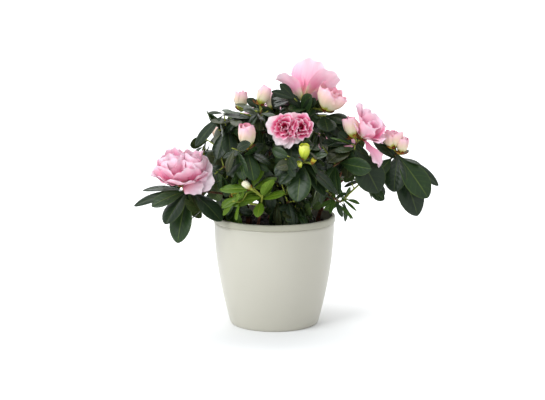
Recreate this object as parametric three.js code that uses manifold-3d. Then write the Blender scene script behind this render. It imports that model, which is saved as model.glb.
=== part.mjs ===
// A potted azalea in bloom: a clump of woody stems from one root ball, boughs that carry masses of
// leathery leaves in whorls, double and half-open blooms, and the tapering cover pot that it stands in.
// Millimetres, +Z up, the front is -Y. The origin is the middle of the pot's underside.
import * as THREE from "three";
import { mergeVertices } from "three/addons/utils/BufferGeometryUtils.js";
import Module from "manifold-3d";

const wasm = await Module();
wasm.setup();

// ---- Driving dimensions ----

const POT = {
  height: 117,
  baseRadius: 47,
  bodyRadius: 64, // just under the band
  bandRadius: 65,
  bandHeight: 6.5,
  wall: 2.4,
  floor: 3,
  bellyPower: 0.94, // how soon the side swells above the base
  sides: 32,
  outerRows: 5,
  innerRows: 2,
};
const SOIL = { top: 107, gap: 0.5, edgeDrop: 2, edgeWidth: 7, sides: 24 };
const CLEAR = 0.3; // round a limb where a bough leaves it, and over the soil
const TIP_CLEAR = 0.5; // between a limb's end and what it carries
const LEAF_MARGIN = 0.5; // between a leaf and the edge of its mass's space
const LIMB_MARGIN = 0.9; // between a leaf and a limb's bark
const GOLDEN = THREE.MathUtils.degToRad(137.508);

// Stems: name, foot on the soil, fork or tip, radius at the foot, radius at the tip.
const STEMS = [
  ["stem_left", [-27, -4], [-36, -8, 152], 2.7, 1.7],
  ["stem_right", [29, -8], [34, -4, 158], 3.0, 1.8],
  ["stem_far_right", [47, 10], [66, 4, 146], 2.3, 1.4],
  ["stem_front", [-17, -44], [-15, -51, 126], 1.9, 1.3],
  ["stem_back", [-3, 27], [-2, 36, 156], 2.9, 1.7],
];

// Masses of foliage: name, stem, how far up it the bough leaves, hub where the shoots part, side shoots
// that part from the hub by rule, and the seed of that rule.
const MASSES = [
  ["left_bloom", "stem_left", 0.46, [-76, -24, 146], 2, 7],
  ["left_top", "stem_left", 1, [-28, -14, 204], 2, 5],
  ["front_left", "stem_left", 0.62, [-36, -38, 174], 2, 2],
  ["left_low", "stem_left", 0.24, [-38, -24, 130], 2, 1],
  ["top", "stem_right", 1, [34, 2, 210], 2, 7],
  ["centre", "stem_right", 0.6, [16, -44, 180], 2, 4],
  ["front_low", "stem_right", 0.24, [12, -32, 134], 2, 1],
  ["young_shoot", "stem_front", 1, [-14, -55, 137], 1, 7],
  ["right_bloom", "stem_far_right", 0.78, [76, -24, 182], 2, 3],
  ["right_buds", "stem_far_right", 1, [116, -6, 172], 1, 6],
  ["low_right", "stem_far_right", 0.44, [70, -8, 132], 1, 5],
  ["back_left", "stem_back", 0.56, [-62, 46, 162], 2, 4],
  ["back_top", "stem_back", 1, [-4, 40, 206], 2, 3],
  ["back_bloom", "stem_back", 0.76, [-6, 72, 178], 2, 1],
  ["back_right", "stem_back", 0.66, [62, 48, 160], 2, 3],
  ["back_low_left", "stem_back", 0.38, [-42, 76, 142], 2, 1],
  ["back_low_right", "stem_back", 0.46, [38, 80, 138], 2, 3],
];

// Leading shoots: name, mass, tip, radius of the space it claims, leaves by rule, leaf length, droop in
// degrees.
const SHOOTS = [
  ["left_bloom", "left_bloom", [-95, -38, 149], 50, 3, 46, 45],
  ["left_inner", "left_bloom", [-72, -8, 162], 34, 6, 32, 20],
  ["upper_left", "left_top", [-13, -24, 231], 44, 6, 40, 24],
  ["left_shoulder", "left_top", [-52, -31, 213], 59, 5, 40, 30],
  ["left_bud", "front_left", [-26, -61, 196], 52, 5, 36, 34],
  ["mid_left", "front_left", [-54, -40, 174], 44, 7, 36, 32],
  ["left_low", "left_low", [-42, -30, 139], 34, 8, 34, 24],
  ["top_bloom", "top", [30, 0, 234], 50, 6, 40, 26],
  ["right_shoulder", "top", [64, -14, 216], 44, 7, 38, 36],
  ["centre_bloom", "centre", [18, -54, 208], 52, 5, 38, 35],
  ["centre_low", "centre", [30, -78, 185], 50, 3, 42, 40],
  ["mid_front", "centre", [-8, -58, 174], 42, 8, 38, 36],
  ["front_low", "front_low", [15, -47, 139], 40, 7, 38, 34],
  ["inner_front", "front_low", [1, -30, 160], 44, 8, 38, 34],
  ["young_shoot", "young_shoot", [-12, -63, 148], 46, 1, 28, 0],
  ["right_bloom", "right_bloom", [87, -28, 200], 57, 4, 42, 50],
  ["mid_right", "right_bloom", [61, -46, 176], 44, 8, 38, 36],
  ["right_buds", "right_buds", [131, -14, 186], 55, 3, 42, 50],
  ["low_right", "low_right", [77, -14, 136], 38, 6, 26, 20],
  ["low_right_tip", "low_right", [99, -2, 158], 44, 3, 26, 30],
  ["back_left", "back_left", [-58, 56, 186], 46, 7, 42, 40],
  ["far_left_back", "back_left", [-92, 54, 147], 48, 7, 44, 48],
  ["back_top", "back_top", [-2, 44, 222], 44, 7, 40, 28],
  ["back_bloom", "back_bloom", [-8, 84, 194], 50, 7, 44, 44],
  ["back_right", "back_right", [58, 64, 178], 48, 7, 44, 44],
  ["far_right_back", "back_right", [106, 50, 158], 48, 7, 44, 46],
  ["back_low_left", "back_low_left", [-54, 92, 148], 48, 7, 44, 46],
  ["back_low_right", "back_low_right", [46, 98, 146], 48, 7, 44, 46],
];

// Leaves that stand out of a leading shoot's whorl: azimuth, elevation, length, width over length, and
// the roll of the upper side about the leaf.
const MARKED_LEAVES = {
  left_bloom: [
    [164, -6, 50, 0.42, -30],
    [182, -18, 56, 0.46, -40],
    [200, -26, 46, 0.42, -30],
    [-128, -58, 50, 0.58, 0],
    [-102, -72, 58, 0.52, 0],
    [-22, -42, 52, 0.56, 20],
  ],
  left_shoulder: [
    [196, -38, 44, 0.48, -25],
    [165, 18, 24, 0.4, -20],
    [-80, -40, 34, 0.5, 0],
  ],
  left_bud: [
    [188, -10, 34, 0.44, -25],
    [206, -44, 34, 0.56, -10],
    [-70, -52, 34, 0.54, 0],
    [-14, -20, 28, 0.5, 20],
  ],
  upper_left: [
    [194, -24, 42, 0.46, -30],
    [214, -34, 34, 0.46, -10],
    [-20, -2, 30, 0.46, 20],
  ],
  top_bloom: [
    [188, 14, 32, 0.48, -30],
    [214, 0, 30, 0.48, -15],
    [-112, 6, 34, 0.6, 0],
    [-58, -20, 36, 0.66, 0],
  ],
  centre_bloom: [
    [206, -20, 34, 0.62, -20],
    [-94, -50, 34, 0.58, 0],
  ],
  centre_low: [
    [192, -4, 36, 0.54, -40],
    [206, -32, 42, 0.52, -20],
    [-108, -62, 42, 0.6, 0],
    [-14, -34, 46, 0.42, 20],
    [-22, -50, 42, 0.4, 20],
    [-2, 24, 28, 0.52, 20],
  ],
  young_shoot: [
    [192, -6, 34, 0.4, -40],
    [306, 60, 28, 0.54, 0],
    [-28, 24, 28, 0.54, 30],
    [40, 56, 28, 0.44, 20],
    [-100, -20, 26, 0.42, 0],
  ],
  right_bloom: [
    [-38, -58, 46, 0.6, 0],
    [-30, -20, 28, 0.54, 10],
    [178, 8, 36, 0.42, -35],
    [214, -48, 32, 0.5, 0],
  ],
  right_buds: [
    [-116, -66, 38, 0.58, 0],
    [-24, -52, 56, 0.54, 20],
    [-2, -67, 60, 0.5, 60],
    [3, -31, 54, 0.42, 50],
    [12, 24, 18, 0.4, 30],
  ],
  low_right_tip: [
    [-24, -50, 30, 0.6, 0],
    [184, -14, 24, 0.42, -30],
  ],
};

// Blooms and buds: shoot, kind, foot measured from the shoot's tip, azimuth and elevation that
// it faces, radius (length of a bud), stretch sideways.
const BLOOMS = [
  ["left_bloom", "double", [0, 2, 2], -95, 78, 30, 1],
  ["left_low", "bud", [0, 0, 0], -90, 80, 9, 1],
  ["left_bud", "bud", [0, -2, 2], -110, 80, 21, 1],
  ["upper_left", "bud", [0, 0, 2], 0, 76, 20, 1],
  ["upper_left", "bud", [-22, 28, -3], 90, 80, 20, 1],
  ["top_bloom", "open", [0, 0, 1], 64, 54, 32, 1],
  ["top_bloom", "cup", [19, -16, -5], -20, 60, 11.5, 1],
  ["centre_bloom", "ruffled", [0, -3, 5], -92, 16, 21, 1.14],
  ["centre_low", "bud", [0, -3, 3], -88, 80, 15, 1],
  ["centre_low", "bud", [-4, -6, -4], -110, 50, 7, 1],
  ["centre_low", "bud", [7, -4, -1], -40, 50, 7, 1],
  ["young_shoot", "bud", [-3, -2, 1], 180, 42, 10, 1],
  ["right_bloom", "double", [4, 0, 4], -28, 50, 20, 1],
  ["right_bloom", "bud", [-4, 0, 2], 175, 72, 21, 1],
  ["right_buds", "cup", [-3, 0, 3], 140, 82, 8, 1],
  ["right_buds", "bud", [5, 1, 0], 10, 66, 20, 1],
  ["back_left", "bud", [0, 0, 1], 130, 70, 21, 1],
  ["back_bloom", "double", [0, 0, 2], 95, 50, 28, 1],
  ["back_right", "open", [0, 0, 1], 52, 34, 27, 1],
  ["back_top", "bud", [0, 0, 1], 100, 78, 19, 1],
  ["back_low_right", "cup", [0, 0, 1], 70, 60, 10, 1],
  ["far_left_back", "double", [0, 0, 2], 155, 36, 22, 1],
  ["far_right_back", "bud", [0, 0, 1], 30, 64, 20, 1],
];

// Petals that hang out of a bloom: azimuth, elevation, length, width over length.
const LOOSE_PETALS = {
  centre_bloom: [
    [188, -14, 22, 0.7],
    [214, -58, 22, 0.5],
  ],
  right_bloom: [[-20, -60, 34, 0.42]],
};

// Corollas as rings from the foot, over the rim, to the heart: radius, height, lobe depth and lobe rise
// as shares of the bloom's radius, and turn in lobes.
const COROLLAS = {
  double: {
    lobes: 6,
    rings: [
      [0.6, 0.2, 0.02, 0, 0],
      [1, 0.58, 0.08, -0.06, 0],
      [0.8, 0.86, 0.06, 0.05, 0.5],
      [0.46, 1.12, 0.1, 0.06, 0],
    ],
    heart: 0.98,
  },
  ruffled: {
    lobes: 6,
    rings: [
      [0.6, 0.2, 0.03, 0, 0],
      [1, 0.55, 0.09, -0.04, 0],
      [0.86, 0.8, 0.06, 0.04, 0.5],
      [0.5, 0.96, 0.1, 0.05, 0],
    ],
    heart: 0.84,
  },
  open: {
    lobes: 5,
    rings: [
      [0.14, 0.14, 0, 0, 0],
      [0.66, 0.6, 0.04, 0, 0],
      [1, 0.92, 0.1, 0.04, 0],
      [0.62, 0.66, 0.04, 0, 0],
    ],
    heart: 0.34,
  },
  cup: {
    lobes: 5,
    rings: [
      [0.22, 0, 0, 0, 0],
      [0.8, 0.6, 0, 0, 0],
      [1, 1.4, 0.06, 0, 0],
      [0.86, 2, 0.12, 0.12, 0],
    ],
    heart: 1.5,
  },
};
const POINTS_PER_LOBE = 3;
const BUD_PROFILE = [
  [0, 0],
  [0.2, 0.06],
  [0.34, 0.4],
  [0.28, 0.78],
  [0, 1],
];

// ---- Materials ----

const finish = (color, roughness) => new THREE.MeshStandardMaterial({ color, roughness, metalness: 0 });
const POT_SATIN = finish(0xd3d0c4, 0.4);
const PEAT = finish(0x1f1a16, 0.95);
const BARK = finish(0x5b3a2a, 0.8);
const FOLIAGE = finish(0x24402a, 0.45);
const YOUNG_FOLIAGE = finish(0x4f7d2a, 0.5);

// ---- Seeded draws and directions ----

function seeded(seed) {
  let state = seed >>> 0;
  return () => {
    state = (Math.imul(state, 1664525) + 1013904223) >>> 0;
    return state / 4294967296;
  };
}

const rad = THREE.MathUtils.degToRad;
const { lerp } = THREE.MathUtils;
const vec = (p) => new THREE.Vector3(p[0], p[1], p[2]);
const UP = new THREE.Vector3(0, 0, 1);

function facing(azimuth, elevation) {
  const [a, e] = [rad(azimuth), rad(elevation)];
  return new THREE.Vector3(Math.cos(a) * Math.cos(e), Math.sin(a) * Math.cos(e), Math.sin(e));
}

// Two directions square to an axis, the second one level.
function across(axis) {
  const second = Math.abs(axis.z) > 0.99 ? new THREE.Vector3(0, 1, 0) : axis.clone().cross(UP).normalize();
  return [second.clone().cross(axis).normalize(), second];
}

// A direction that leans from an axis by tilt, towards turn around it. Radians.
function leaning(axis, tilt, turn) {
  const [first, second] = across(axis);
  return axis
    .clone()
    .multiplyScalar(Math.cos(tilt))
    .addScaledVector(first, Math.sin(tilt) * Math.cos(turn))
    .addScaledVector(second, Math.sin(tilt) * Math.sin(turn))
    .normalize();
}

// ---- Solids ----

function solidOf(geometry) {
  const bare = geometry.index ? geometry.toNonIndexed() : geometry.clone();
  bare.deleteAttribute("normal");
  bare.deleteAttribute("uv");
  const merged = mergeVertices(bare, 1e-4);
  return new wasm.Manifold(
    new wasm.Mesh({
      numProp: 3,
      vertProperties: merged.attributes.position.array,
      triVerts: new Uint32Array(merged.index.array),
    }),
  );
}

function solidFromFaces(faces, points) {
  const places = faces.flatMap((face) => face.flatMap((key) => points[key].toArray()));
  const geometry = new THREE.BufferGeometry();
  geometry.setAttribute("position", new THREE.BufferAttribute(new Float32Array(places), 3));
  return solidOf(geometry);
}

function largestOf(solid) {
  return solid.decompose().reduce((a, b) => (a.volume() > b.volume() ? a : b));
}

function meshOf(name, solid, material) {
  const made = solid.getMesh();
  const places = new Float32Array(made.numVert * 3);
  for (let i = 0; i < made.numVert; i++) {
    places.set(made.vertProperties.subarray(i * made.numProp, i * made.numProp + 3), i * 3);
  }
  const geometry = new THREE.BufferGeometry();
  geometry.setAttribute("position", new THREE.BufferAttribute(places, 3));
  geometry.setIndex(new THREE.BufferAttribute(made.triVerts, 1));
  geometry.computeVertexNormals();
  const mesh = new THREE.Mesh(geometry, material.clone());
  mesh.name = name;
  return mesh;
}

// A closed cylinder bent along a curve, with radiusAt(share of the length) round it.
function limbSolid({ curve, radiusAt, sides, steps }, swell = 0) {
  const geometry = new THREE.CylinderGeometry(1, 1, 1, sides, steps);
  const frames = curve.computeFrenetFrames(steps);
  const place = geometry.attributes.position;
  for (let i = 0; i < place.count; i++) {
    const row = Math.round((place.getY(i) + 0.5) * steps);
    const share = row / steps;
    const radius = radiusAt(share) + swell;
    const at = curve.getPoint(share);
    at.addScaledVector(frames.normals[row], place.getX(i) * radius);
    at.addScaledVector(frames.binormals[row], -place.getZ(i) * radius);
    place.setXYZ(i, at.x, at.y, at.z);
  }
  return solidOf(geometry);
}

// ---- Pot and soil ----

const BODY_TOP = POT.height - POT.bandHeight;
const point = (r, z) => new THREE.Vector2(r, z);

function potRadiusAt(z) {
  const share = THREE.MathUtils.clamp(z / BODY_TOP, 0, 1);
  const swell = Math.sin((Math.PI / 2) * share ** POT.bellyPower);
  return lerp(POT.baseRadius, POT.bodyRadius, swell);
}

function sideProfile(from, to, rows, inset) {
  return Array.from({ length: rows }, (_, i) => {
    const z = lerp(from, to, (i + 1) / rows);
    return point(potRadiusAt(z) - inset, z);
  });
}

function potProfile() {
  const mouth = POT.bodyRadius - POT.wall;
  return [
    point(0, 0),
    point(POT.baseRadius - 1, 0),
    point(POT.baseRadius, 1),
    ...sideProfile(1, BODY_TOP, POT.outerRows, 0),
    point(POT.bandRadius, BODY_TOP),
    point(POT.bandRadius, POT.height - 0.8),
    point(POT.bandRadius - 0.8, POT.height),
    point(mouth, POT.height),
    ...sideProfile(POT.floor, BODY_TOP, POT.innerRows, POT.wall).reverse(),
    point(potRadiusAt(POT.floor) - POT.wall, POT.floor),
    point(0, POT.floor),
  ];
}

// The root ball fills the pot, with a level top that slopes down at its edge.
function soilProfile() {
  const inset = POT.wall + SOIL.gap + 0.5;
  const bottom = POT.floor + SOIL.gap;
  const edge = SOIL.top - SOIL.edgeDrop;
  return [
    point(0, bottom),
    point(potRadiusAt(bottom) - inset, bottom),
    ...sideProfile(bottom, edge, POT.innerRows, inset),
    point(potRadiusAt(edge) - inset - SOIL.edgeWidth, SOIL.top),
    point(0, SOIL.top),
  ];
}

// LatheGeometry turns about Y, so the solid is stood up on Z.
const turned = (profile, sides) => solidOf(new THREE.LatheGeometry(profile, sides).rotateX(Math.PI / 2));

// ---- Stems and boughs ----

const shootRows = SHOOTS.map(([name, mass, tip, reach, leaves, leafLength, droop]) => {
  const hub = vec(MASSES.find((row) => row[0] === mass)[3]);
  const middle = hub.clone().lerp(vec(tip), 0.85);
  return { name, mass, tip: vec(tip), reach, leaves, leafLength, droop, middle };
});
const massRows = MASSES.map(([name, stem, at, hub, sides, seed]) => ({
  name,
  stem,
  at,
  hub: vec(hub),
  sides,
  seed,
  leads: shootRows.filter((shoot) => shoot.mass === name),
  others: shootRows.filter((shoot) => shoot.mass !== name),
}));
const bloomRows = BLOOMS.map(([name, kind, offset, azimuth, elevation, size, stretch]) => ({
  shoot: name,
  kind,
  foot: shootRows.find((shoot) => shoot.name === name).tip.clone().add(vec(offset)),
  way: facing(azimuth, elevation),
  size,
  stretch,
}));

// How far inside its mass's own space a place lies: the least distance to the planes shared with others.
function depthInside(mass, place) {
  const power = (shoot) => place.distanceToSquared(shoot.middle) - shoot.reach ** 2;
  const own = mass.leads.reduce((a, b) => (power(a) < power(b) ? a : b));
  const gapTo = (other) => (power(other) - power(own)) / (2 * own.middle.distanceTo(other.middle));
  return Math.min(...mass.others.map(gapTo));
}

function stemLimb([name, foot, tip, footRadius, tipRadius]) {
  const start = new THREE.Vector3(foot[0], foot[1], SOIL.top + CLEAR);
  const end = vec(tip);
  const knee = new THREE.Vector3(start.x, start.y, lerp(start.z, end.z, 0.35));
  const flare = (share) => 1 + 0.55 * Math.max(0, 1 - share / 0.2) ** 2;
  return {
    name,
    curve: new THREE.QuadraticBezierCurve3(start, knee, end),
    radiusAt: (share) => lerp(footRadius, tipRadius, share) * flare(share),
    tipRadius,
    sides: 8,
    steps: 5,
  };
}

// A bough leaves its stem, bends to the mass's hub and ends where it enters the mass's space.
function boughLimb(mass, stem) {
  const start = stem.curve.getPoint(mass.at);
  const way = stem.curve.getTangent(mass.at);
  const span = start.distanceTo(mass.hub);
  const pull = mass.at === 1 ? 0.42 : 0.28;
  const knee = start.clone().addScaledVector(way, pull * span);
  if (mass.at === 1) start.addScaledVector(way, TIP_CLEAR);
  const whole = new THREE.QuadraticBezierCurve3(start, knee, mass.hub);
  let end = 0.9;
  while (end > 0.6 && depthInside(mass, whole.getPoint(end - 0.04)) > 2) end -= 0.04;
  const steps = 4;
  const points = Array.from({ length: steps + 1 }, (_, i) => whole.getPoint((end * i) / steps));
  const thick = Math.min(1.7, stem.tipRadius * 0.94);
  const after = whole.getTangent(end).multiplyScalar(TIP_CLEAR);
  return {
    name: "bough_" + mass.name,
    curve: new THREE.CatmullRomCurve3(points),
    radiusAt: (share) => lerp(thick, 1.05, share),
    sides: 6,
    steps,
    stem,
    rest: whole.getPoint(end).add(after),
  };
}

const stems = new Map(STEMS.map((row) => [row[0], stemLimb(row)]));
const boughs = new Map(massRows.map((mass) => [mass.name, boughLimb(mass, stems.get(mass.stem))]));

// Beads along the limbs and over the blooms, which the leaves and twigs keep clear of.
const LIMB_BEADS = 30;
const BLOOM_BEADS = 20;

function limbBeads({ curve, radiusAt }) {
  return Array.from({ length: LIMB_BEADS + 1 }, (_, i) => ({
    place: curve.getPoint(i / LIMB_BEADS),
    radius: radiusAt(i / LIMB_BEADS) + LIMB_MARGIN,
  }));
}

function bloomBeads({ kind, foot, way, size }) {
  const along = (share) => foot.clone().addScaledVector(way, share * size);
  if (kind === "bud") {
    return [0.45, 0.8].map((share) => ({ place: along(share), radius: 0.34 * size }));
  }
  const { rings } = COROLLAS[kind];
  const raised = rings.filter(([, z]) => z > 0.15);
  const round = raised.flatMap(([r, z]) =>
    Array.from({ length: BLOOM_BEADS }, (_, i) => ({
      place: along(z).addScaledVector(leaning(way, Math.PI / 2, (i * 2 * Math.PI) / BLOOM_BEADS), r * size),
      radius: 0.12 * size,
    })),
  );
  return kind === "open" ? round : [...round, { place: along(0.8), radius: 0.6 * size }];
}

const beads = [
  ...[...stems.values(), ...boughs.values()].flatMap(limbBeads),
  ...bloomRows.flatMap(bloomBeads),
];

// ---- Leaves ----

const ROOT_SUNK = 0.4; // behind the middle of the shoot
const RIDGE = { along: 0.5, high: 0.028 }; // the thickest place, as shares of the length
const NEAR = { along: 0.4, wide: 0.42 }; // the outline's wide points, as shares of length and width
const FAR = { along: 0.76, wide: 0.44 };

// A blade is a leaf or a petal: a root, a way to grow, an upper side, and a bend half way along.
function blade(root, way, upper, length, width, bend) {
  const side = way.clone().cross(upper).normalize();
  const top = side.clone().cross(way).normalize();
  const farWay = way.clone().applyAxisAngle(side, -bend);
  const middle = root.clone().addScaledVector(way, length / 2);
  return { root, way, side, top, farWay, middle, length, width };
}

function bladePoints({ root, way, side, top, farWay, middle, length, width }) {
  const near = root.clone().addScaledVector(way, NEAR.along * length);
  const far = middle.clone().addScaledVector(farWay, (FAR.along - 0.5) * length);
  const ridge = root.clone().addScaledVector(way, RIDGE.along * length);
  const from = (place, along, by) => place.clone().addScaledVector(along, by);
  return {
    root: from(root, way, -ROOT_SUNK),
    nearLeft: from(near, side, -NEAR.wide * width),
    farLeft: from(far, side, -FAR.wide * width),
    tip: from(middle, farWay, length / 2),
    farRight: from(far, side, FAR.wide * width),
    nearRight: from(near, side, NEAR.wide * width),
    ridge: from(ridge, top, RIDGE.high * length),
  };
}

const BLADE_TOP = [
  ["root", "nearRight", "ridge"],
  ["nearRight", "farRight", "ridge"],
  ["farRight", "tip", "ridge"],
  ["tip", "farLeft", "ridge"],
  ["farLeft", "nearLeft", "ridge"],
  ["nearLeft", "root", "ridge"],
];
const BLADE_UNDER = [
  ["root", "nearLeft", "nearRight"],
  ["nearLeft", "farLeft", "farRight"],
  ["nearLeft", "farRight", "nearRight"],
  ["farLeft", "tip", "farRight"],
];
const bladeSolid = (made) => solidFromFaces([...BLADE_TOP, ...BLADE_UNDER], bladePoints(made));

function clearOfPot(place) {
  const out = Math.hypot(place.x, place.y);
  if (place.z > POT.height + 1) return true;
  if (out > POT.bandRadius + 1) return place.z > 4;
  return out < POT.bodyRadius - POT.wall - 1 && place.z > SOIL.top + 1;
}

// The blade's flat under-faces stand for the whole leaf in the tests below.
const facesOf = (points) =>
  BLADE_UNDER.map((face) => new THREE.Triangle(...face.map((key) => points[key])));

function clearOfBeads(made, faces) {
  const near = new THREE.Vector3();
  return beads.every(({ place, radius }) => {
    if (place.distanceTo(made.middle) > 0.62 * made.length + radius) return true;
    return faces.every((face) => {
      face.closestPointToPoint(place, near);
      return near.distanceTo(place) > radius + 0.6 * RIDGE.high * made.length;
    });
  });
}

function edgeCrosses(points, faces) {
  const ring = ["nearLeft", "farLeft", "tip", "farRight", "nearRight"].map((key) => points[key]);
  const ray = new THREE.Ray();
  const hit = new THREE.Vector3();
  return ring.some((from, i) => {
    const to = ring[(i + 1) % ring.length];
    ray.set(from, to.clone().sub(from).normalize());
    return faces.slice(1).some(({ a, b, c }) => {
      return ray.intersectTriangle(a, b, c, false, hit) && hit.distanceTo(from) < from.distanceTo(to);
    });
  });
}

function crossesAny(made, points, faces, grown) {
  return grown.some((leaf) => {
    if (leaf.middle.distanceTo(made.middle) > 0.6 * (leaf.length + made.length)) return false;
    return edgeCrosses(points, leaf.faces) || edgeCrosses(leaf.points, faces);
  });
}

// A blade keeps to its mass's space, clear of limbs, blooms and pot, and crosses no leaf grown before it.
function fits(mass, made, grown) {
  const points = bladePoints(made);
  const faces = facesOf(points);
  const all = Object.values(points).slice(1);
  const between = all.map((place, i) => place.clone().lerp(all[(i + 1) % all.length], 0.5));
  return (
    [...all, ...between].every((place) => clearOfPot(place) && depthInside(mass, place) > LEAF_MARGIN) &&
    clearOfBeads(made, faces) &&
    !crossesAny(made, points, faces, grown)
  );
}

const SHORTER = [1, 0.8, 0.64];

// Leaves root one below another under the shoot's tip.
function growLeaf(mass, shoot, grown, near, slot, slots, way, upper, length, widthShare, bend) {
  const root = shoot.tip.clone().addScaledVector(shoot.way, -1.5 - (10 * (slot + 0.5)) / slots);
  for (const share of SHORTER) {
    const long = length * share;
    const made = blade(root, way, upper, long, widthShare * long, bend);
    if (!fits(mass, made, near)) continue;
    const points = bladePoints(made);
    grown.push({ ...made, shoot, points, faces: facesOf(points) });
    return;
  }
}

const square = (upper, way) => upper.clone().addScaledVector(way, -upper.dot(way)).normalize();

function growMarked(mass, shoot, grown) {
  const marked = MARKED_LEAVES[shoot.name] ?? [];
  const slots = marked.length + shoot.leaves;
  const before = grown.slice();
  marked.forEach(([azimuth, elevation, length, widthShare, roll], k) => {
    const way = facing(azimuth, elevation);
    const upper = square(UP, way).applyAxisAngle(way, rad(roll));
    const bend = rad(elevation < -40 ? 8 : 20);
    growLeaf(mass, shoot, grown, before, k, slots, way, upper, length, widthShare, bend);
  });
  return marked.length;
}

// Leaves in a whorl below a shoot's tip: the lowest are the longest and the most open.
function growWhorl(mass, shoot, draw, grown, taken) {
  const phase = draw() * 2 * Math.PI;
  const marked = grown.slice();
  for (let k = 0; k < shoot.leaves; k++) {
    const age = (k + 0.5) / shoot.leaves;
    const turn = phase + k * GOLDEN + (draw() - 0.5) * 0.3;
    const open = rad(50 + 40 * age + (draw() - 0.5) * 16);
    const sag = rad(shoot.droop * (0.55 + 0.6 * draw()));
    const length = shoot.leafLength * (0.74 + 0.3 * age + (draw() - 0.5) * 0.14);
    const bend = rad(12 + 24 * draw());
    const roll = (draw() - 0.5) * 0.5;
    const widthShare = 0.4 + 0.12 * draw();
    const way = leaning(shoot.way, open, turn);
    const upper = square(shoot.way, way);
    const hinge = way.clone().cross(UP);
    if (hinge.length() > 0.2) {
      hinge.normalize();
      way.applyAxisAngle(hinge, -sag);
      upper.applyAxisAngle(hinge, -sag);
    }
    upper.applyAxisAngle(way, roll);
    if (marked.some((leaf) => leaf.shoot === shoot && leaf.way.dot(way) > 0.88)) continue;
    const [slot, slots] = [taken + k, taken + shoot.leaves];
    growLeaf(mass, shoot, grown, grown, slot, slots, way, upper, length, widthShare, bend);
  }
}

// ---- Shoots ----

// A shoot must stay in its mass's space. Near the hub it is close to its own bough, so that part is
// left out.
function shootFits(mass, hub, tip) {
  return [0.35, 0.5, 0.65, 0.8, 1].every((share) => {
    const place = hub.clone().lerp(tip, share);
    const clear = beads.every((bead) => bead.place.distanceTo(place) > bead.radius + 1.2);
    return clear && clearOfPot(place) && depthInside(mass, place) > 1.5;
  });
}

// The first leading shoot carries the bough on; the others and the side shoots part from the hub.
function shootsOf(mass, draw) {
  const { hub, leads } = mass;
  const rest = boughs.get(mass.name).rest;
  const shoots = leads.map((lead, k) => {
    const way = lead.tip.clone().sub(hub).normalize();
    return { ...lead, path: k === 0 ? [rest, hub, lead.tip] : [hub, lead.tip], way };
  });
  const axis = leads[0].tip.clone().sub(hub).normalize();
  const phase = draw() * 2 * Math.PI;
  for (let k = 0; k < mass.sides; k++) {
    const turn = phase + k * GOLDEN + (draw() - 0.5) * 0.6;
    const out = leaning(axis, rad(58 + 40 * draw()), turn);
    const long = leads[0].reach * (0.5 + 0.2 * draw());
    for (const share of SHORTER) {
      const tip = hub.clone().addScaledVector(out, long * share).addScaledVector(UP, long * share * 0.2);
      const way = tip.clone().sub(hub).normalize();
      if (shoots.some((shoot) => shoot.way.dot(way) > 0.8) || !shootFits(mass, hub, tip)) continue;
      const { leafLength, droop } = leads[0];
      shoots.push({ path: [hub, tip], tip, way, leaves: 6, leafLength: leafLength * 0.86, droop });
      break;
    }
  }
  return shoots;
}

function shootSolid({ path }, thick) {
  const pieces = path.slice(1).map((to, i) => {
    const curve = new THREE.LineCurve3(path[i], to);
    const radiusAt = (share) => lerp(thick, 0.85 * thick, share);
    return limbSolid({ curve, radiusAt, sides: 3, steps: 1 });
  });
  return pieces;
}

// ---- Blooms ----

// Stands a bloom made about Z on its foot, facing its way.
function standing(foot, way, stretch) {
  const [up, level] = across(way);
  return new THREE.Matrix4().makeBasis(level.multiplyScalar(-stretch), up, way).setPosition(foot);
}

function budSolid(foot, way, size) {
  const profile = BUD_PROFILE.map(([r, z]) => point(r * size, z * size));
  const bud = new THREE.LatheGeometry(profile, 6).rotateX(Math.PI / 2);
  return solidOf(bud.applyMatrix4(standing(foot, way, 1)));
}

function corollaSolid(kind, foot, way, size, stretch) {
  const { lobes, rings, heart } = COROLLAS[kind];
  const columns = lobes * POINTS_PER_LOBE;
  const points = { foot: new THREE.Vector3(0, 0, -1), heart: new THREE.Vector3(0, 0, heart * size) };
  rings.forEach(([r, z, depth, rise, turn], ring) => {
    for (let i = 0; i < columns; i++) {
      const angle = (i * 2 * Math.PI) / columns;
      const wave = -Math.cos(lobes * angle + turn * 2 * Math.PI);
      const out = r * size * (1 + depth * wave);
      const high = (z + rise * wave) * size;
      points[ring + "," + i] = new THREE.Vector3(out * Math.cos(angle), out * Math.sin(angle), high);
    }
  });
  const faces = [];
  for (let i = 0; i < columns; i++) {
    const j = (i + 1) % columns;
    faces.push(["foot", "0," + j, "0," + i]);
    for (let ring = 0; ring + 1 < rings.length; ring++) {
      faces.push([ring + "," + i, ring + "," + j, ring + 1 + "," + j]);
      faces.push([ring + "," + i, ring + 1 + "," + j, ring + 1 + "," + i]);
    }
    faces.push([rings.length - 1 + "," + i, rings.length - 1 + "," + j, "heart"]);
  }
  const stand = standing(foot, way, stretch);
  Object.values(points).forEach((place) => place.applyMatrix4(stand));
  return solidFromFaces(faces, points);
}

function bloomSolids(shoot) {
  const from = shoot.tip.clone().addScaledVector(shoot.way, -2);
  const own = bloomRows.filter((bloom) => bloom.shoot === shoot.name);
  return own.flatMap(({ kind, foot, way, size, stretch }) => {
    const inside = foot.clone().addScaledVector(way, (kind === "bud" ? 0.3 : 0.12) * size);
    const stalk = { curve: new THREE.LineCurve3(from, inside), radiusAt: () => 1, sides: 3, steps: 1 };
    const body = kind === "bud" ? budSolid(foot, way, size) : corollaSolid(kind, foot, way, size, stretch);
    return [limbSolid(stalk), body];
  });
}

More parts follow.
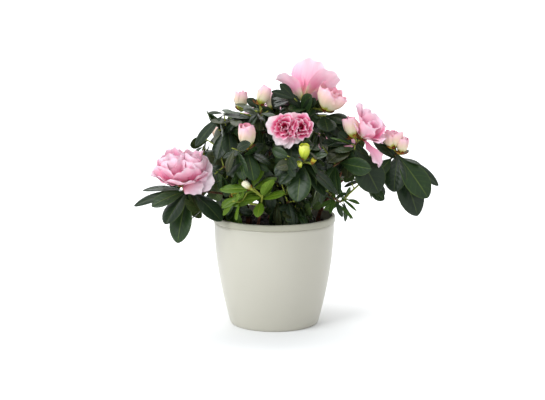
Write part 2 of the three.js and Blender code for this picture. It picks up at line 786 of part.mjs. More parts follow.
function loosePetals(shoot) {
  const hanging = LOOSE_PETALS[shoot.name] ?? [];
  return hanging.map(([azimuth, elevation, length, widthShare]) => {
    const { foot, way, size } = bloomRows.find((bloom) => bloom.shoot === shoot.name);
    const out = facing(azimuth, elevation);
    const root = foot.clone().addScaledVector(way, 0.4 * size);
    return bladeSolid(blade(root, out, square(way, out), length, widthShare * length, 0.2));
  });
}

// A side shoot that finds no room for leaves is left off.
function massSolid(mass) {
  const draw = seeded(mass.seed);
  const grown = [];
  const all = shootsOf(mass, draw);
  const taken = all.map((shoot) => growMarked(mass, shoot, grown));
  all.forEach((shoot, k) => growWhorl(mass, shoot, draw, grown, taken[k]));
  const shoots = all.filter((shoot) => grown.some((leaf) => leaf.shoot === shoot));
  return largestOf(
    wasm.Manifold.union([
      ...shoots.flatMap((shoot) => shootSolid(shoot, 1.2)),
      ...grown.map(bladeSolid),
      ...shoots.flatMap(bloomSolids),
      ...shoots.flatMap(loosePetals),
    ]),
  );
}

// ---- The object ----

const azalea = new THREE.Group();
azalea.name = "azalea";
azalea.add(meshOf("pot", turned(potProfile(), POT.sides), POT_SATIN));
azalea.add(meshOf("soil", turned(soilProfile(), SOIL.sides), PEAT));

for (const stem of stems.values()) azalea.add(meshOf(stem.name, limbSolid(stem), BARK));
for (const bough of boughs.values()) {
  const fitted = limbSolid(bough).subtract(limbSolid(bough.stem, CLEAR));
  azalea.add(meshOf(bough.name, largestOf(fitted), BARK));
}
for (const mass of massRows) {
  const material = mass.name === "young_shoot" ? YOUNG_FOLIAGE : FOLIAGE;
  azalea.add(meshOf("foliage_" + mass.name, massSolid(mass), material));
}

export default azalea;
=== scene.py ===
# A potted azalea in bloom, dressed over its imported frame: smooth leaves, layered petals, bark and pot.
# The tables and the rule of growth are the solids' own, but for some leaves and blooms that were turned or
# moved to match the photo more closely. The finer twigs that stand out or fill the middle, the places kept
# open, and all that isn't growth are the scene's. Sizes are in millimetres; meshes are made in metres.
import math

import bpy
import numpy as np
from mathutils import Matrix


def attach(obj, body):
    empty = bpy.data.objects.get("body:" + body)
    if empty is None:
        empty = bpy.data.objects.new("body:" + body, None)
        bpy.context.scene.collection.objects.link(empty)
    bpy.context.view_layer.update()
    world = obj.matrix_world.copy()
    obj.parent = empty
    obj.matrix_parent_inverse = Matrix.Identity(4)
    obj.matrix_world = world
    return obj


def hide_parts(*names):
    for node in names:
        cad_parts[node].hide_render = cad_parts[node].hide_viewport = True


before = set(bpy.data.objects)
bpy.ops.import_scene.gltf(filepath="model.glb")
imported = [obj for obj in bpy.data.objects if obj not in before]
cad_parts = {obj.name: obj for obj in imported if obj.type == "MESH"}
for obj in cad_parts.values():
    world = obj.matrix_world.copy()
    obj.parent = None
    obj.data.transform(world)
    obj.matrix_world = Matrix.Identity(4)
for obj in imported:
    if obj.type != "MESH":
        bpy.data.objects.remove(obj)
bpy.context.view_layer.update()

MM = 0.001

# ---- Sizes and tables ----

POT_HEIGHT, BASE_RADIUS, BODY_RADIUS, BAND_RADIUS = 117, 47, 64, 65
BAND_HEIGHT, WALL, BELLY_POWER = 6.5, 2.4, 0.94
SOIL_TOP, SOIL_DROP, SOIL_EDGE = 107, 2, 7
CLEAR, TIP_CLEAR, LEAF_MARGIN, LIMB_MARGIN = 0.3, 0.5, 0.5, 0.9
GOLDEN, TURN = math.radians(137.508), 2 * math.pi

# Stems: foot on the soil, fork or tip, radius at the foot, radius at the tip.
STEMS = {
    "stem_left": ((-27, -4), (-36, -8, 152), 2.7, 1.7),
    "stem_right": ((29, -8), (34, -4, 158), 3.0, 1.8),
    "stem_far_right": ((47, 10), (66, 4, 146), 2.3, 1.4),
    "stem_front": ((-17, -44), (-15, -51, 126), 1.9, 1.3),
    "stem_back": ((-3, 27), (-2, 36, 156), 2.9, 1.7),
}

# Masses: stem, how far up it the bough leaves, hub, side shoots by rule, seed, finer twigs on a shoot.
MASSES = {
    "left_bloom": ("stem_left", 0.46, (-76, -24, 146), 2, 7, 1),
    "left_top": ("stem_left", 1, (-28, -14, 204), 2, 5, 2),
    "front_left": ("stem_left", 0.62, (-36, -38, 174), 2, 2, 3),
    "left_low": ("stem_left", 0.24, (-38, -24, 130), 2, 1, 3),
    "top": ("stem_right", 1, (34, 2, 210), 2, 7, 4),
    "centre": ("stem_right", 0.6, (16, -44, 180), 2, 4, 5),
    "front_low": ("stem_right", 0.24, (12, -32, 134), 2, 1, 5),
    "young_shoot": ("stem_front", 1, (-14, -55, 137), 1, 7, 1),
    "right_bloom": ("stem_far_right", 0.78, (76, -24, 182), 2, 3, 2),
    "right_buds": ("stem_far_right", 1, (116, -6, 172), 1, 6, 0),
    "low_right": ("stem_far_right", 0.44, (70, -8, 132), 1, 5, 0),
    "back_left": ("stem_back", 0.56, (-62, 46, 162), 2, 4, 2),
    "back_top": ("stem_back", 1, (-4, 40, 206), 2, 3, 3),
    "back_bloom": ("stem_back", 0.76, (-6, 72, 178), 2, 1, 4),
    "back_right": ("stem_back", 0.66, (62, 48, 160), 2, 3, 2),
    "back_low_left": ("stem_back", 0.38, (-42, 76, 142), 2, 1, 3),
    "back_low_right": ("stem_back", 0.46, (38, 80, 138), 2, 3, 2),
}

# Leading shoots: mass, tip, radius of the space claimed, leaves by rule, leaf length, droop in degrees.
SHOOTS = {
    "left_bloom": ("left_bloom", (-95, -38, 149), 50, 3, 46, 45),
    "left_inner": ("left_bloom", (-72, -8, 162), 34, 6, 32, 20),
    "upper_left": ("left_top", (-13, -24, 231), 44, 6, 40, 24),
    "left_shoulder": ("left_top", (-52, -31, 213), 59, 5, 40, 30),
    "left_bud": ("front_left", (-26, -61, 196), 52, 5, 36, 34),
    "mid_left": ("front_left", (-54, -40, 174), 44, 7, 36, 32),
    "left_low": ("left_low", (-42, -30, 139), 34, 8, 34, 24),
    "top_bloom": ("top", (30, 0, 234), 50, 6, 40, 26),
    "right_shoulder": ("top", (64, -14, 216), 44, 7, 38, 36),
    "centre_bloom": ("centre", (18, -54, 208), 52, 5, 38, 35),
    "centre_low": ("centre", (30, -78, 185), 50, 3, 42, 40),
    "mid_front": ("centre", (-8, -58, 174), 42, 8, 38, 36),
    "front_low": ("front_low", (15, -47, 139), 40, 7, 38, 34),
    "inner_front": ("front_low", (1, -30, 160), 44, 8, 38, 34),
    "young_shoot": ("young_shoot", (-12, -63, 148), 46, 1, 28, 0),
    "right_bloom": ("right_bloom", (87, -28, 200), 57, 4, 42, 50),
    "mid_right": ("right_bloom", (61, -46, 176), 44, 8, 38, 36),
    "right_buds": ("right_buds", (131, -14, 186), 55, 3, 42, 50),
    "low_right": ("low_right", (77, -14, 136), 38, 6, 26, 20),
    "low_right_tip": ("low_right", (99, -2, 158), 44, 3, 26, 30),
    "back_left": ("back_left", (-58, 56, 186), 46, 7, 42, 40),
    "far_left_back": ("back_left", (-92, 54, 147), 48, 7, 44, 48),
    "back_top": ("back_top", (-2, 44, 222), 44, 7, 40, 28),
    "back_bloom": ("back_bloom", (-8, 84, 194), 50, 7, 44, 44),
    "back_right": ("back_right", (58, 64, 178), 48, 7, 44, 44),
    "far_right_back": ("back_right", (106, 50, 158), 48, 7, 44, 46),
    "back_low_left": ("back_low_left", (-54, 92, 148), 48, 7, 44, 46),
    "back_low_right": ("back_low_right", (46, 98, 146), 48, 7, 44, 46),
}

# Leaves that stand out: azimuth, elevation, length, width over length, roll about the leaf.
MARKED_LEAVES = {
    "left_bloom": [
        (164, 5, 48, 0.28, -20), (182, -10, 57, 0.26, -30), (200, -16, 40, 0.42, -40),
        (-141, -46, 43, 0.7, 0), (-128, -69, 56, 0.54, 0), (-22, -42, 34, 0.5, 20),
    ],
    "left_shoulder": [(228, -64, 34, 0.5, -10), (190, -22, 24, 0.4, -20), (-80, -40, 34, 0.5, 0)],
    "left_bud": [
        (188, -10, 34, 0.44, -25), (206, -44, 34, 0.56, -10), (-70, -52, 34, 0.54, 0),
        (-14, -20, 28, 0.5, 20),
    ],
    "upper_left": [(194, -24, 42, 0.46, -30), (214, -34, 34, 0.46, -10), (-20, -2, 30, 0.46, 20)],
    "top_bloom": [
        (188, 14, 32, 0.48, -30), (214, 0, 30, 0.48, -15), (-112, 6, 34, 0.6, 0), (-58, -20, 36, 0.66, 0),
    ],
    "centre_bloom": [(206, -20, 34, 0.62, -20), (-94, -50, 34, 0.58, 0)],
    "centre_low": [
        (192, -4, 36, 0.54, -40), (206, -32, 42, 0.52, -20), (-108, -62, 42, 0.6, 0),
        (-14, -34, 46, 0.42, 20), (-22, -50, 42, 0.4, 20), (-2, 24, 28, 0.52, 20),
    ],
    "young_shoot": [
        (192, -6, 34, 0.4, -40), (306, 60, 28, 0.54, 0), (-28, 24, 28, 0.54, 30), (40, 56, 28, 0.44, 20),
        (-100, -20, 26, 0.42, 0),
    ],
    "right_bloom": [
        (-60, -74, 34, 0.5, 0), (-50, -46, 24, 0.54, 10), (178, 8, 36, 0.42, -35), (214, -48, 32, 0.5, 0),
    ],
    "right_buds": [
        (-110, -68, 42, 0.6, 0), (-23, -50, 57, 0.56, 36), (-10, -68, 70, 0.48, 50),
        (-2, -29, 58, 0.28, 40), (12, 24, 18, 0.4, 30),
    ],
    "low_right_tip": [(-24, -50, 30, 0.6, 0), (184, -14, 24, 0.42, -30)],
}

# Finer twigs that stand out, by mass: tip, then its leaves as above with their tint.
MARKED_TWIGS = {
    "left_top": [
        ((-52, -31, 229), (180, 6, 17, 0.3, -40, "dark"), (-175, -43, 45, 0.36, -35, "dark")),
        ((-13, -14, 232), (-173, 35, 19, 0.55, -60, "dark")),
        ((-35, -30, 229), (-167, 8, 18, 0.34, -20, "mid"), (-162, -42, 29, 0.42, -25, "dark")),
    ],
    "front_left": [
        ((-57, -34, 191), (180, -2, 16, 0.26, -20, "dark"), (-162, -62, 17, 0.3, -10, "mid")),
    ],
    "left_bloom": [
        ((-74, -20, 193), (-159, -27, 13, 0.4, -20, "dark")),
        ((-85, -38, 148), (-32, -33, 46, 0.52, 20, "dark")),
    ],
    "right_bloom": [
        ((83, -36, 192), (-28, -55, 52, 0.66, 40, "dark"), (-145, 2, 25, 0.4, -30, "mid")),
        ((80, -30, 196), (-160, 24, 26, 0.22, -20, "fresh"), (180, 44, 20, 0.62, -60, "dark")),
    ],
    "right_buds": [
        ((133, -12, 179), (-5, -13, 23, 0.34, 20, "dark")),
        ((131, -12, 176), (-168, 45, 38, 0.5, -50, "dark"), (172, 58, 25, 0.5, -50, "mid")),
    ],
    "low_right": [
        ((99, -8, 146), (-12, -31, 22, 0.8, 62, "mid")),
        ((69, -16, 139), (-13, -35, 24, 0.24, 40, "fresh")),
        ((64, -20, 133), (-19, -37, 26, 0.26, 40, "fresh"), (-164, 35, 17, 0.3, -40, "mid")),
        ((82, -12, 152), (-166, 28, 18, 0.26, -20, "fresh"), (0, 32, 17, 0.26, 20, "mid")),
    ],
    "top": [
        ((21, -12, 242), (-166, 21, 26, 0.36, -60, "dark"), (180, 48, 23, 0.44, -60, "dark")),
        ((17, -4, 240), (175, 8, 20, 0.4, -20, "dark"), (-150, -10, 22, 0.5, 0, "dark")),
        (
            (54, -12, 224), (-19, -7, 26, 0.56, 40, "dark"), (-32, -34, 32, 0.72, 30, "dark"),
            (-81, -25, 28, 0.74, 0, "dark"), (-53, -48, 33, 0.6, 0, "dark"),
        ),
    ],
    "centre": [
        ((28, -74, 183), (0, -37, 50, 0.36, 20, "dark")),
    ],
    "young_shoot": [
        (
            (-22, -66, 157), (58, 62, 29, 0.5, 10, "young"), (14, 27, 27, 0.46, 20, "young"),
            (180, 2, 36, 0.3, -50, "young"),
        ),
        ((-28, -66, 151), (-176, -26, 30, 0.3, -40, "young"), (132, 61, 20, 0.36, -30, "young")),
    ],
}

# Tips of finer twigs that fill the crown's middle; each belongs to the mass whose space it lies in.
INNER_ACROSS, INNER_BACK, INNER_UP = (-34, -14, 6, 28, 50), (4, 22), (146, 166, 186, 204)

# Places kept free of leaves, where the photo shows sky or a petal: middle and radius.
OPEN_PLACES = [
    ((-81, -55, 120), 6), ((-73, -20, 113), 6), ((102, -38, 187), 9), ((-74, -44, 119), 9),
    ((-61, -34, 200), 9), ((-71, -31, 119), 10), ((75, -45, 155), 9), ((-71, 58, 188), 20),
    ((98, 48, 127), 20),
]

# Blooms: shoot, kind, foot from the shoot's tip, azimuth and elevation, size, stretch, tint, bracts.
BLOOMS = [
    ("left_bloom", "double", (-1, 2, 6), -95, 76, 30, 1, "rose", 8),
    ("left_low", "bud", (0, 0, 0), -90, 80, 9, 1, "russet", 3),
    ("left_bud", "bud", (-1, -2, 1), -110, 80, 24, 1, "peach", 6),
    ("upper_left", "bud", (-2, 0, 6), 0, 68, 19, 1, "peach", 7),
    ("upper_left", "bud", (-22, 28, -3), 90, 80, 20, 1, "peach", 5),
    ("top_bloom", "open", (0, 0, 1), 64, 54, 32, 1, "shell", 5),
    ("top_bloom", "cup", (22, -16, -4), -20, 60, 11.5, 1, "peach", 12),
    ("centre_bloom", "ruffled", (1, -4, 9), -92, 14, 20, 1.1, "ruffle", 5),
    ("centre_low", "bud", (0, -3, 3), -88, 80, 15, 1, "green", 4),
    ("centre_low", "bud", (-4, -6, -4), -110, 50, 7, 1, "green", 2),
    ("centre_low", "bud", (7, -4, -1), -40, 50, 7, 1, "russet", 2),
    ("young_shoot", "bud", (-12, -4, 8), 180, 42, 10, 1, "cream", 4),
    ("right_bloom", "double", (3, 0, 2), -28, 50, 20, 1, "rose", 12),
    ("right_bloom", "bud", (-4, 0, 3), 175, 72, 21, 1, "peach", 12),
    ("right_buds", "cup", (-7, -1, 4), 110, 84, 8.6, 1, "blush", 18),
    ("right_buds", "bud", (1, -5, -1), 10, 78, 17, 1, "blush", 16),
    ("back_left", "bud", (0, 0, 1), 130, 70, 21, 1, "blush", 6),
    ("back_bloom", "double", (0, 0, 2), 95, 50, 28, 1, "rose", 8),
    ("back_right", "open", (2, 6, -2), 66, 14, 26, 1, "shell", 5),
    ("back_top", "bud", (0, 0, 1), 100, 78, 19, 1, "peach", 6),
    ("back_low_right", "cup", (0, 0, 1), 70, 60, 10, 1, "blush", 7),
    ("far_left_back", "double", (0, 0, 2), 155, 36, 22, 1, "rose", 8),
    ("far_right_back", "bud", (0, 0, 1), 30, 64, 20, 1, "blush", 6),
]

# Radius and height of the solids' corolla rings, as shares of the bloom's radius.
COROLLA_RINGS = {
    "double": [(0.6, 0.2), (1, 0.58), (0.8, 0.86), (0.46, 1.12)],
    "ruffled": [(0.6, 0.2), (1, 0.55), (0.86, 0.8), (0.5, 0.96)],
    "open": [(0.66, 0.6), (1, 0.92), (0.62, 0.66)],
    "cup": [(0.8, 0.6), (1, 1.4), (0.86, 2)],
}

# ---- Seeded draws and directions ----


def seeded(seed):
    state = [seed]

    def draw():
        state[0] = (state[0] * 1664525 + 1013904223) % 4294967296
        return state[0] / 4294967296

    return draw


UP = np.array((0.0, 0.0, 1.0))


def vec(place):
    return np.array(place, dtype=float)


def unit(v):
    return v / np.linalg.norm(v)


def lerp(a, b, share):
    return a + (b - a) * share


def facing(azimuth, elevation):
    a, e = math.radians(azimuth), math.radians(elevation)
    return vec((math.cos(a) * math.cos(e), math.sin(a) * math.cos(e), math.sin(e)))


def across(axis):
    """Two directions square to an axis, the second one level."""
    second = vec((0, 1, 0)) if abs(axis[2]) > 0.99 else unit(np.cross(axis, UP))
    return unit(np.cross(second, axis)), second


def leaning(axis, tilt, turn):
    """A direction that leans from an axis by tilt, towards turn around it."""
    first, second = across(axis)
    sideways = first * math.cos(turn) + second * math.sin(turn)
    return unit(axis * math.cos(tilt) + sideways * math.sin(tilt))


def turned(v, axis, angle):
    """v turned about a unit axis by the right-hand rule."""
    c, s = math.cos(angle), math.sin(angle)
    return v * c + np.cross(axis, v) * s + axis * (np.dot(axis, v) * (1 - c))


def square(upper, way):
    return unit(upper - way * np.dot(upper, way))


def quadratic(start, knee, end, share):
    share = np.asarray(share, dtype=float)[..., None]
    return start * (1 - share) ** 2 + knee * 2 * share * (1 - share) + end * share**2


# ---- Limbs, spaces and beads, by the solids' rule ----


class Lead:
    """A leading shoot: its tip, and the middle and reach of the space it claims."""

    def __init__(self, name):
        self.name = name
        self.mass, tip, self.reach, self.leaves, self.leaf_length, self.droop = SHOOTS[name]
        self.tip = vec(tip)
        self.middle = lerp(vec(MASSES[self.mass][2]), self.tip, 0.85)


LEADS = {name: Lead(name) for name in SHOOTS}


def spaces(leads):
    """The middles and reaches of the spaces that leading shoots claim."""
    return np.array([lead.middle for lead in leads]), np.array([lead.reach for lead in leads], dtype=float)


class Mass:
    """A mass of foliage: its hub, its leading shoots, and the spaces that they and the others claim."""

    def __init__(self, name):
        self.name = name
        self.stem, self.at, hub, self.sides, self.seed, self.finer = MASSES[name]
        self.hub = vec(hub)
        self.leads = [lead for lead in LEADS.values() if lead.mass == name]
        others = [lead for lead in LEADS.values() if lead.mass != name]
        self.own, self.others = spaces(self.leads), spaces(others)

    def depth_inside(self, places):
        """How far inside the mass's own space the places lie."""
        places = np.atleast_2d(places)

        def power(middles, reaches):
            return ((places[:, None] - middles) ** 2).sum(2) - reaches**2

        own = power(*self.own)
        nearest = own.argmin(1)
        own_power = own[np.arange(len(places)), nearest][:, None]
        between = np.linalg.norm(self.others[0] - self.own[0][nearest][:, None], axis=2)
        return ((power(*self.others) - own_power) / (2 * between)).min(1)


class Limb:
    """A tapering limb along a quadratic curve, cut short at an end."""

    def __init__(self, start, knee, end, radius_at, cut=1.0):
        self.start, self.knee, self.end, self.radius_at, self.cut = start, knee, end, radius_at, cut

    def places(self, shares):
        return quadratic(self.start, self.knee, self.end, np.asarray(shares) * self.cut)

    def way(self, share):
        a, b = self.places([max(share - 1e-4, 0), min(share + 1e-4, 1)])
        return unit(b - a)


def stem_limb(name):
    foot, tip, foot_radius, tip_radius = STEMS[name]
    start, end = vec((*foot, SOIL_TOP + CLEAR)), vec(tip)
    knee = vec((start[0], start[1], lerp(start[2], end[2], 0.35)))

    def radius_at(share):
        return lerp(foot_radius, tip_radius, share) * (1 + 0.55 * max(0, 1 - share / 0.2) ** 2)

    return Limb(start, knee, end, radius_at)


def bough_limb(mass, stem):
    """A bough leaves its stem, bends to the hub and ends where it enters the mass's space."""
    start, way = stem.places(mass.at), stem.way(mass.at)
    pull = 0.42 if mass.at == 1 else 0.28
    knee = start + way * pull * np.linalg.norm(start - mass.hub)
    if mass.at == 1:
        start = start + way * TIP_CLEAR
    whole = Limb(start, knee, mass.hub, None)
    cut = 0.9
    while cut > 0.6 and mass.depth_inside(whole.places(cut - 0.04))[0] > 2:
        cut -= 0.04
    thick = min(1.7, STEMS[mass.stem][3] * 0.94)
    bough = Limb(start, knee, mass.hub, lambda share: lerp(thick, 1.05, share), cut)
    bough.rest = whole.places(cut) + whole.way(cut) * TIP_CLEAR
    return bough


class Bloom:
    """A bloom or bud: where its foot is, the way it faces, its size and its colours."""

    def __init__(self, shoot, kind, offset, azimuth, elevation, size, stretch, tint, bracts):
        self.shoot, self.kind, self.size, self.stretch = shoot, kind, size, stretch
        self.tint, self.bracts = tint, bracts
        self.foot = LEADS[shoot].tip + vec(offset)
        self.way = facing(azimuth, elevation)


ALL_MASSES = {name: Mass(name) for name in MASSES}
ALL_STEMS = {name: stem_limb(name) for name in STEMS}
BOUGHS = {name: bough_limb(mass, ALL_STEMS[mass.stem]) for name, mass in ALL_MASSES.items()}
ALL_BLOOMS = [Bloom(*row) for row in BLOOMS]

LIMB_BEADS = 30
BLOOM_BEADS = 20


def limb_beads(limb):
    shares = np.linspace(0, 1, LIMB_BEADS + 1)
    places = limb.places(shares)
    return [(place, limb.radius_at(share) + LIMB_MARGIN) for place, share in zip(places, shares)]


def bloom_beads(bloom):
    foot, way, size = bloom.foot, bloom.way, bloom.size
    if bloom.kind == "bud":
        return [(foot + way * share * size, 0.34 * size) for share in (0.45, 0.8)]
    beads = []
    for radius, height in COROLLA_RINGS[bloom.kind]:
        for i in range(BLOOM_BEADS):
            out = leaning(way, math.pi / 2, i * TURN / BLOOM_BEADS)
            beads.append((foot + way * height * size + out * radius * size, 0.12 * size))
    if bloom.kind != "open":
        beads.append((foot + way * 0.8 * size, 0.6 * size))
    return beads


beads = [bead for limb in [*ALL_STEMS.values(), *BOUGHS.values()] for bead in limb_beads(limb)]
beads += [bead for bloom in ALL_BLOOMS for bead in bloom_beads(bloom)]
BEAD_PLACES = np.array([place for place, _ in beads])
BEAD_RADII = np.array([radius for _, radius in beads])

# ---- Leaves, by the solids' rule ----

ROOT_SUNK = 0.4
RIDGE_ALONG, RIDGE_HIGH = 0.5, 0.028
NEAR_ALONG, NEAR_WIDE = 0.4, 0.42
FAR_ALONG, FAR_WIDE = 0.76, 0.44


class Blade:
    """A leaf's root, way to grow, upper side and bend, with the outline that the tests use."""

    def __init__(self, root, way, upper, length, width, bend):
        self.root, self.way, self.length, self.width, self.bend = root, way, length, width, bend
        self.tint, self.fine = None, False
        self.side = unit(np.cross(way, upper))
        self.top = unit(np.cross(self.side, way))
        self.middle = root + way * length / 2
        far_way = turned(way, self.side, -bend)
        near = root + way * NEAR_ALONG * length
        far = self.middle + far_way * (FAR_ALONG - 0.5) * length
        near_side, far_side = self.side * NEAR_WIDE * width, self.side * FAR_WIDE * width
        tip = self.middle + far_way * length / 2
        self.ring = np.array([near - near_side, far - far_side, tip, far + far_side, near + near_side])
        ridge = root + way * RIDGE_ALONG * length + self.top * RIDGE_HIGH * length
        self.tested = np.vstack([self.ring, ridge])
        near_left, far_left, tip, far_right, near_right = self.ring
        behind = root - way * ROOT_SUNK
        self.faces = np.array(
            [
                (behind, near_left, near_right),
                (near_left, far_left, far_right),
                (near_left, far_right, near_right),
                (far_left, tip, far_right),
            ]
        )


def pot_radius_at(z):
    share = min(max(z / (POT_HEIGHT - BAND_HEIGHT), 0), 1)
    return lerp(BASE_RADIUS, BODY_RADIUS, math.sin(math.pi / 2 * share**BELLY_POWER))


def clear_of_pot(place):
    out = math.hypot(place[0], place[1])
    if place[2] > POT_HEIGHT + 1:
        return True
    if out > BAND_RADIUS + 1:
        return place[2] > 4
    return out < BODY_RADIUS - WALL - 1 and place[2] > SOIL_TOP + 1


def distances_to_triangle(places, a, b, c):
    """Each place's distance to one triangle."""

    def to_edge(p, q):
        along = q - p
        share = np.clip(((places - p) @ along) / max(along @ along, 1e-9), 0, 1)
        return np.linalg.norm(places - p - share[:, None] * along, axis=1)

    edges = np.minimum(np.minimum(to_edge(a, b), to_edge(b, c)), to_edge(c, a))
    normal = unit(np.cross(b - a, c - a))
    height = (places - a) @ normal
    foot = places - height[:, None] * normal
    inside = np.ones(len(places), dtype=bool)
    for p, q in ((a, b), (b, c), (c, a)):
        inside &= np.cross(q - p, foot - p) @ normal >= 0
    return np.where(inside, np.abs(height), edges)


def clear_of_beads(made):
    reach = 0.62 * made.length + BEAD_RADII
    near = np.linalg.norm(BEAD_PLACES - made.middle, axis=1) <= reach
    if not near.any():
        return True
    least = BEAD_RADII[near] + 0.6 * RIDGE_HIGH * made.length
    return all((distances_to_triangle(BEAD_PLACES[near], *face) > least).all() for face in made.faces)


def segments_cross(starts, ends, triangles):
    """Whether any segment passes through any triangle."""
    a = triangles[:, 0]
    ab, ac = triangles[:, 1] - a, triangles[:, 2] - a
    way = (ends - starts)[:, None]
    p = np.cross(way, ac[None])
    det = (p * ab).sum(2)
    det = np.where(np.abs(det) < 1e-12, 1e-12, det)
    t = starts[:, None] - a
    u = (t * p).sum(2) / det
    q = np.cross(t, ab[None])
    v = (way * q).sum(2) / det
    share = (q * ac).sum(2) / det
    return bool(((u >= 0) & (v >= 0) & (u + v <= 1) & (share > 0) & (share < 1)).any())


def crosses_any(made, grown):
    near = [
        leaf
        for leaf in grown
        if np.linalg.norm(leaf.middle - made.middle) <= 0.6 * (leaf.length + made.length)
    ]
    if not near:
        return False
    ends = np.roll(made.ring, -1, axis=0)
    faces = np.concatenate([leaf.faces[1:] for leaf in near])
    if segments_cross(made.ring, ends, faces):
        return True
    rings = np.concatenate([leaf.ring for leaf in near])
    ring_ends = np.concatenate([np.roll(leaf.ring, -1, axis=0) for leaf in near])
    return segments_cross(rings, ring_ends, made.faces[1:])


def fits(mass, made, grown):
    between = (made.tested + np.roll(made.tested, -1, axis=0)) / 2
    places = np.vstack([made.tested, between])
    if not all(clear_of_pot(place) for place in places):
        return False
    if (mass.depth_inside(places) <= LEAF_MARGIN).any():
        return False
    return clear_of_beads(made) and not crosses_any(made, grown)


SHORTER = (1, 0.8, 0.64)  # what doesn't fit is tried again shorter, by these shares
LEAVES_FROM, LEAVES_OVER = 1.5, 10  # leaves start this far below a shoot's tip, and spread over this length
SIDE_LEAVES, SIDE_LEAF_SHARE = 6, 0.86
FINER_LEAVES, FINER_THICK = 6, 0.8
INNER_LEAF_LENGTH, INNER_DROOP, INNER_JITTER = 34, 30, 8
FINER_SEED, INNER_SEED = 500, 300
SHOOT_CLEAR, SHOOT_DEPTH = 1.2, 1.5  # how far a shoot stays from limbs and blooms, and inside its space
# An open bloom's funnel, in shares of its size: from and to which height, its radius there, and its widening.
FUNNEL_FROM, FUNNEL_TO, FUNNEL_FOOT, FUNNEL_WIDENS = 0.2, 1.1, 0.06, 0.9


class Shoot:
    """A leafy twig: its path and tip, the way it points, and its leaves' count, length and droop."""

    def __init__(self, name, path, tip, way, leaves, leaf_length, droop, thick=1.2):
        self.name, self.path, self.tip, self.way, self.thick = name, path, tip, way, thick
        self.leaves, self.leaf_length, self.droop = leaves, leaf_length, droop

    def leaf_root(self, slot, slots):
        return self.tip - self.way * (LEAVES_FROM + LEAVES_OVER * (slot + 0.5) / slots)


def marked_ways(azimuth, elevation, roll):
    """The way that a marked leaf grows, and its upper side."""
    way = facing(azimuth, elevation)
    return way, turned(square(UP, way), way, math.radians(roll))


def grow_leaf(mass, shoot, grown, near, root, way, upper, length, width_share, bend):
    """Adds a leaf where it fits, clear of the leaves near it."""
    for share in SHORTER:
        long = length * share
        made = Blade(root, way, upper, long, width_share * long, bend)
        if fits(mass, made, near):
            made.shoot = shoot
            grown.append(made)
            return


def grow_marked(mass, shoot, grown):
    marked = MARKED_LEAVES.get(shoot.name, [])
    slots = len(marked) + shoot.leaves
    before = list(grown)
    for k, (azimuth, elevation, length, width_share, roll) in enumerate(marked):
        way, upper = marked_ways(azimuth, elevation, roll)
        bend = math.radians(8 if elevation < -40 else 20)
        root = shoot.leaf_root(k, slots)
        grow_leaf(mass, shoot, grown, before, root, way, upper, length, width_share, bend)
    return len(marked)


def grow_whorl(mass, shoot, draw, grown, taken, near=None):
    """Leaves in a whorl below a shoot's tip: the lowest are the longest and the most open."""
    phase = draw() * TURN
    marked = list(grown)
    for k in range(shoot.leaves):
        age = (k + 0.5) / shoot.leaves
        turn = phase + k * GOLDEN + (draw() - 0.5) * 0.3
        open_by = math.radians(50 + 40 * age + (draw() - 0.5) * 16)
        sag = math.radians(shoot.droop * (0.55 + 0.6 * draw()))
        length = shoot.leaf_length * (0.74 + 0.3 * age + (draw() - 0.5) * 0.14)
        bend = math.radians(12 + 24 * draw())
        roll = (draw() - 0.5) * 0.5
        width_share = 0.4 + 0.12 * draw()
        way = leaning(shoot.way, open_by, turn)
        upper = square(shoot.way, way)
        hinge = np.cross(way, UP)
        if np.linalg.norm(hinge) > 0.2:
            hinge = unit(hinge)
            way = turned(way, hinge, -sag)
            upper = turned(upper, hinge, -sag)
        upper = turned(upper, way, roll)
        if any(leaf.shoot is shoot and leaf.way @ way > 0.88 for leaf in marked):
            continue
        root = shoot.leaf_root(taken + k, taken + shoot.leaves)
        others = grown if near is None else near
        grow_leaf(mass, shoot, grown, others, root, way, upper, length, width_share, bend)


def shoot_fits(mass, hub, tip, shares=(0.35, 0.5, 0.65, 0.8, 1)):
    places = np.array([lerp(hub, tip, share) for share in shares])
    apart = np.linalg.norm(BEAD_PLACES[:, None] - places, axis=2)
    clear = (apart > BEAD_RADII[:, None] + SHOOT_CLEAR).all() and all(clear_of_pot(p) for p in places)
    return clear and (mass.depth_inside(places) > SHOOT_DEPTH).all()


def shoots_of(mass, draw):
    """The first leading shoot carries the bough on; the others and the side shoots part from the hub."""
    rest = BOUGHS[mass.name].rest
    shoots = []
    for k, lead in enumerate(mass.leads):
        path = [rest, mass.hub, lead.tip] if k == 0 else [mass.hub, lead.tip]
        way = unit(lead.tip - mass.hub)
        shoots.append(Shoot(lead.name, path, lead.tip, way, lead.leaves, lead.leaf_length, lead.droop))
    first = mass.leads[0]
    axis = unit(first.tip - mass.hub)
    phase = draw() * TURN
    for k in range(mass.sides):
        turn = phase + k * GOLDEN + (draw() - 0.5) * 0.6
        out = leaning(axis, math.radians(58 + 40 * draw()), turn)
        long = first.reach * (0.5 + 0.2 * draw())
        for share in SHORTER:
            tip = mass.hub + out * long * share + UP * long * share * 0.2
            way = unit(tip - mass.hub)
            near = any(shoot.way @ way > 0.8 for shoot in shoots)
            if near or not shoot_fits(mass, mass.hub, tip):
                continue
            path = [mass.hub, tip]
            leaf_length = first.leaf_length * SIDE_LEAF_SHARE
            shoots.append(Shoot("side", path, tip, way, SIDE_LEAVES, leaf_length, first.droop))
            break
    return shoots


def nearest_start(mass, shoots, shares):
    """Finds the nearest of the places that lie at these shares of the way from the hub to a shoot's tip."""
    starts = np.array([lerp(mass.hub, shoot.tip, share) for shoot in shoots for share in shares])
    return lambda tip: starts[np.linalg.norm(starts - tip, axis=1).argmin()]


def finer_twig(base, tip, leaves, leaf_length, droop):
    return Shoot("finer", [base, tip], tip, unit(tip - base), leaves, leaf_length, droop, FINER_THICK)


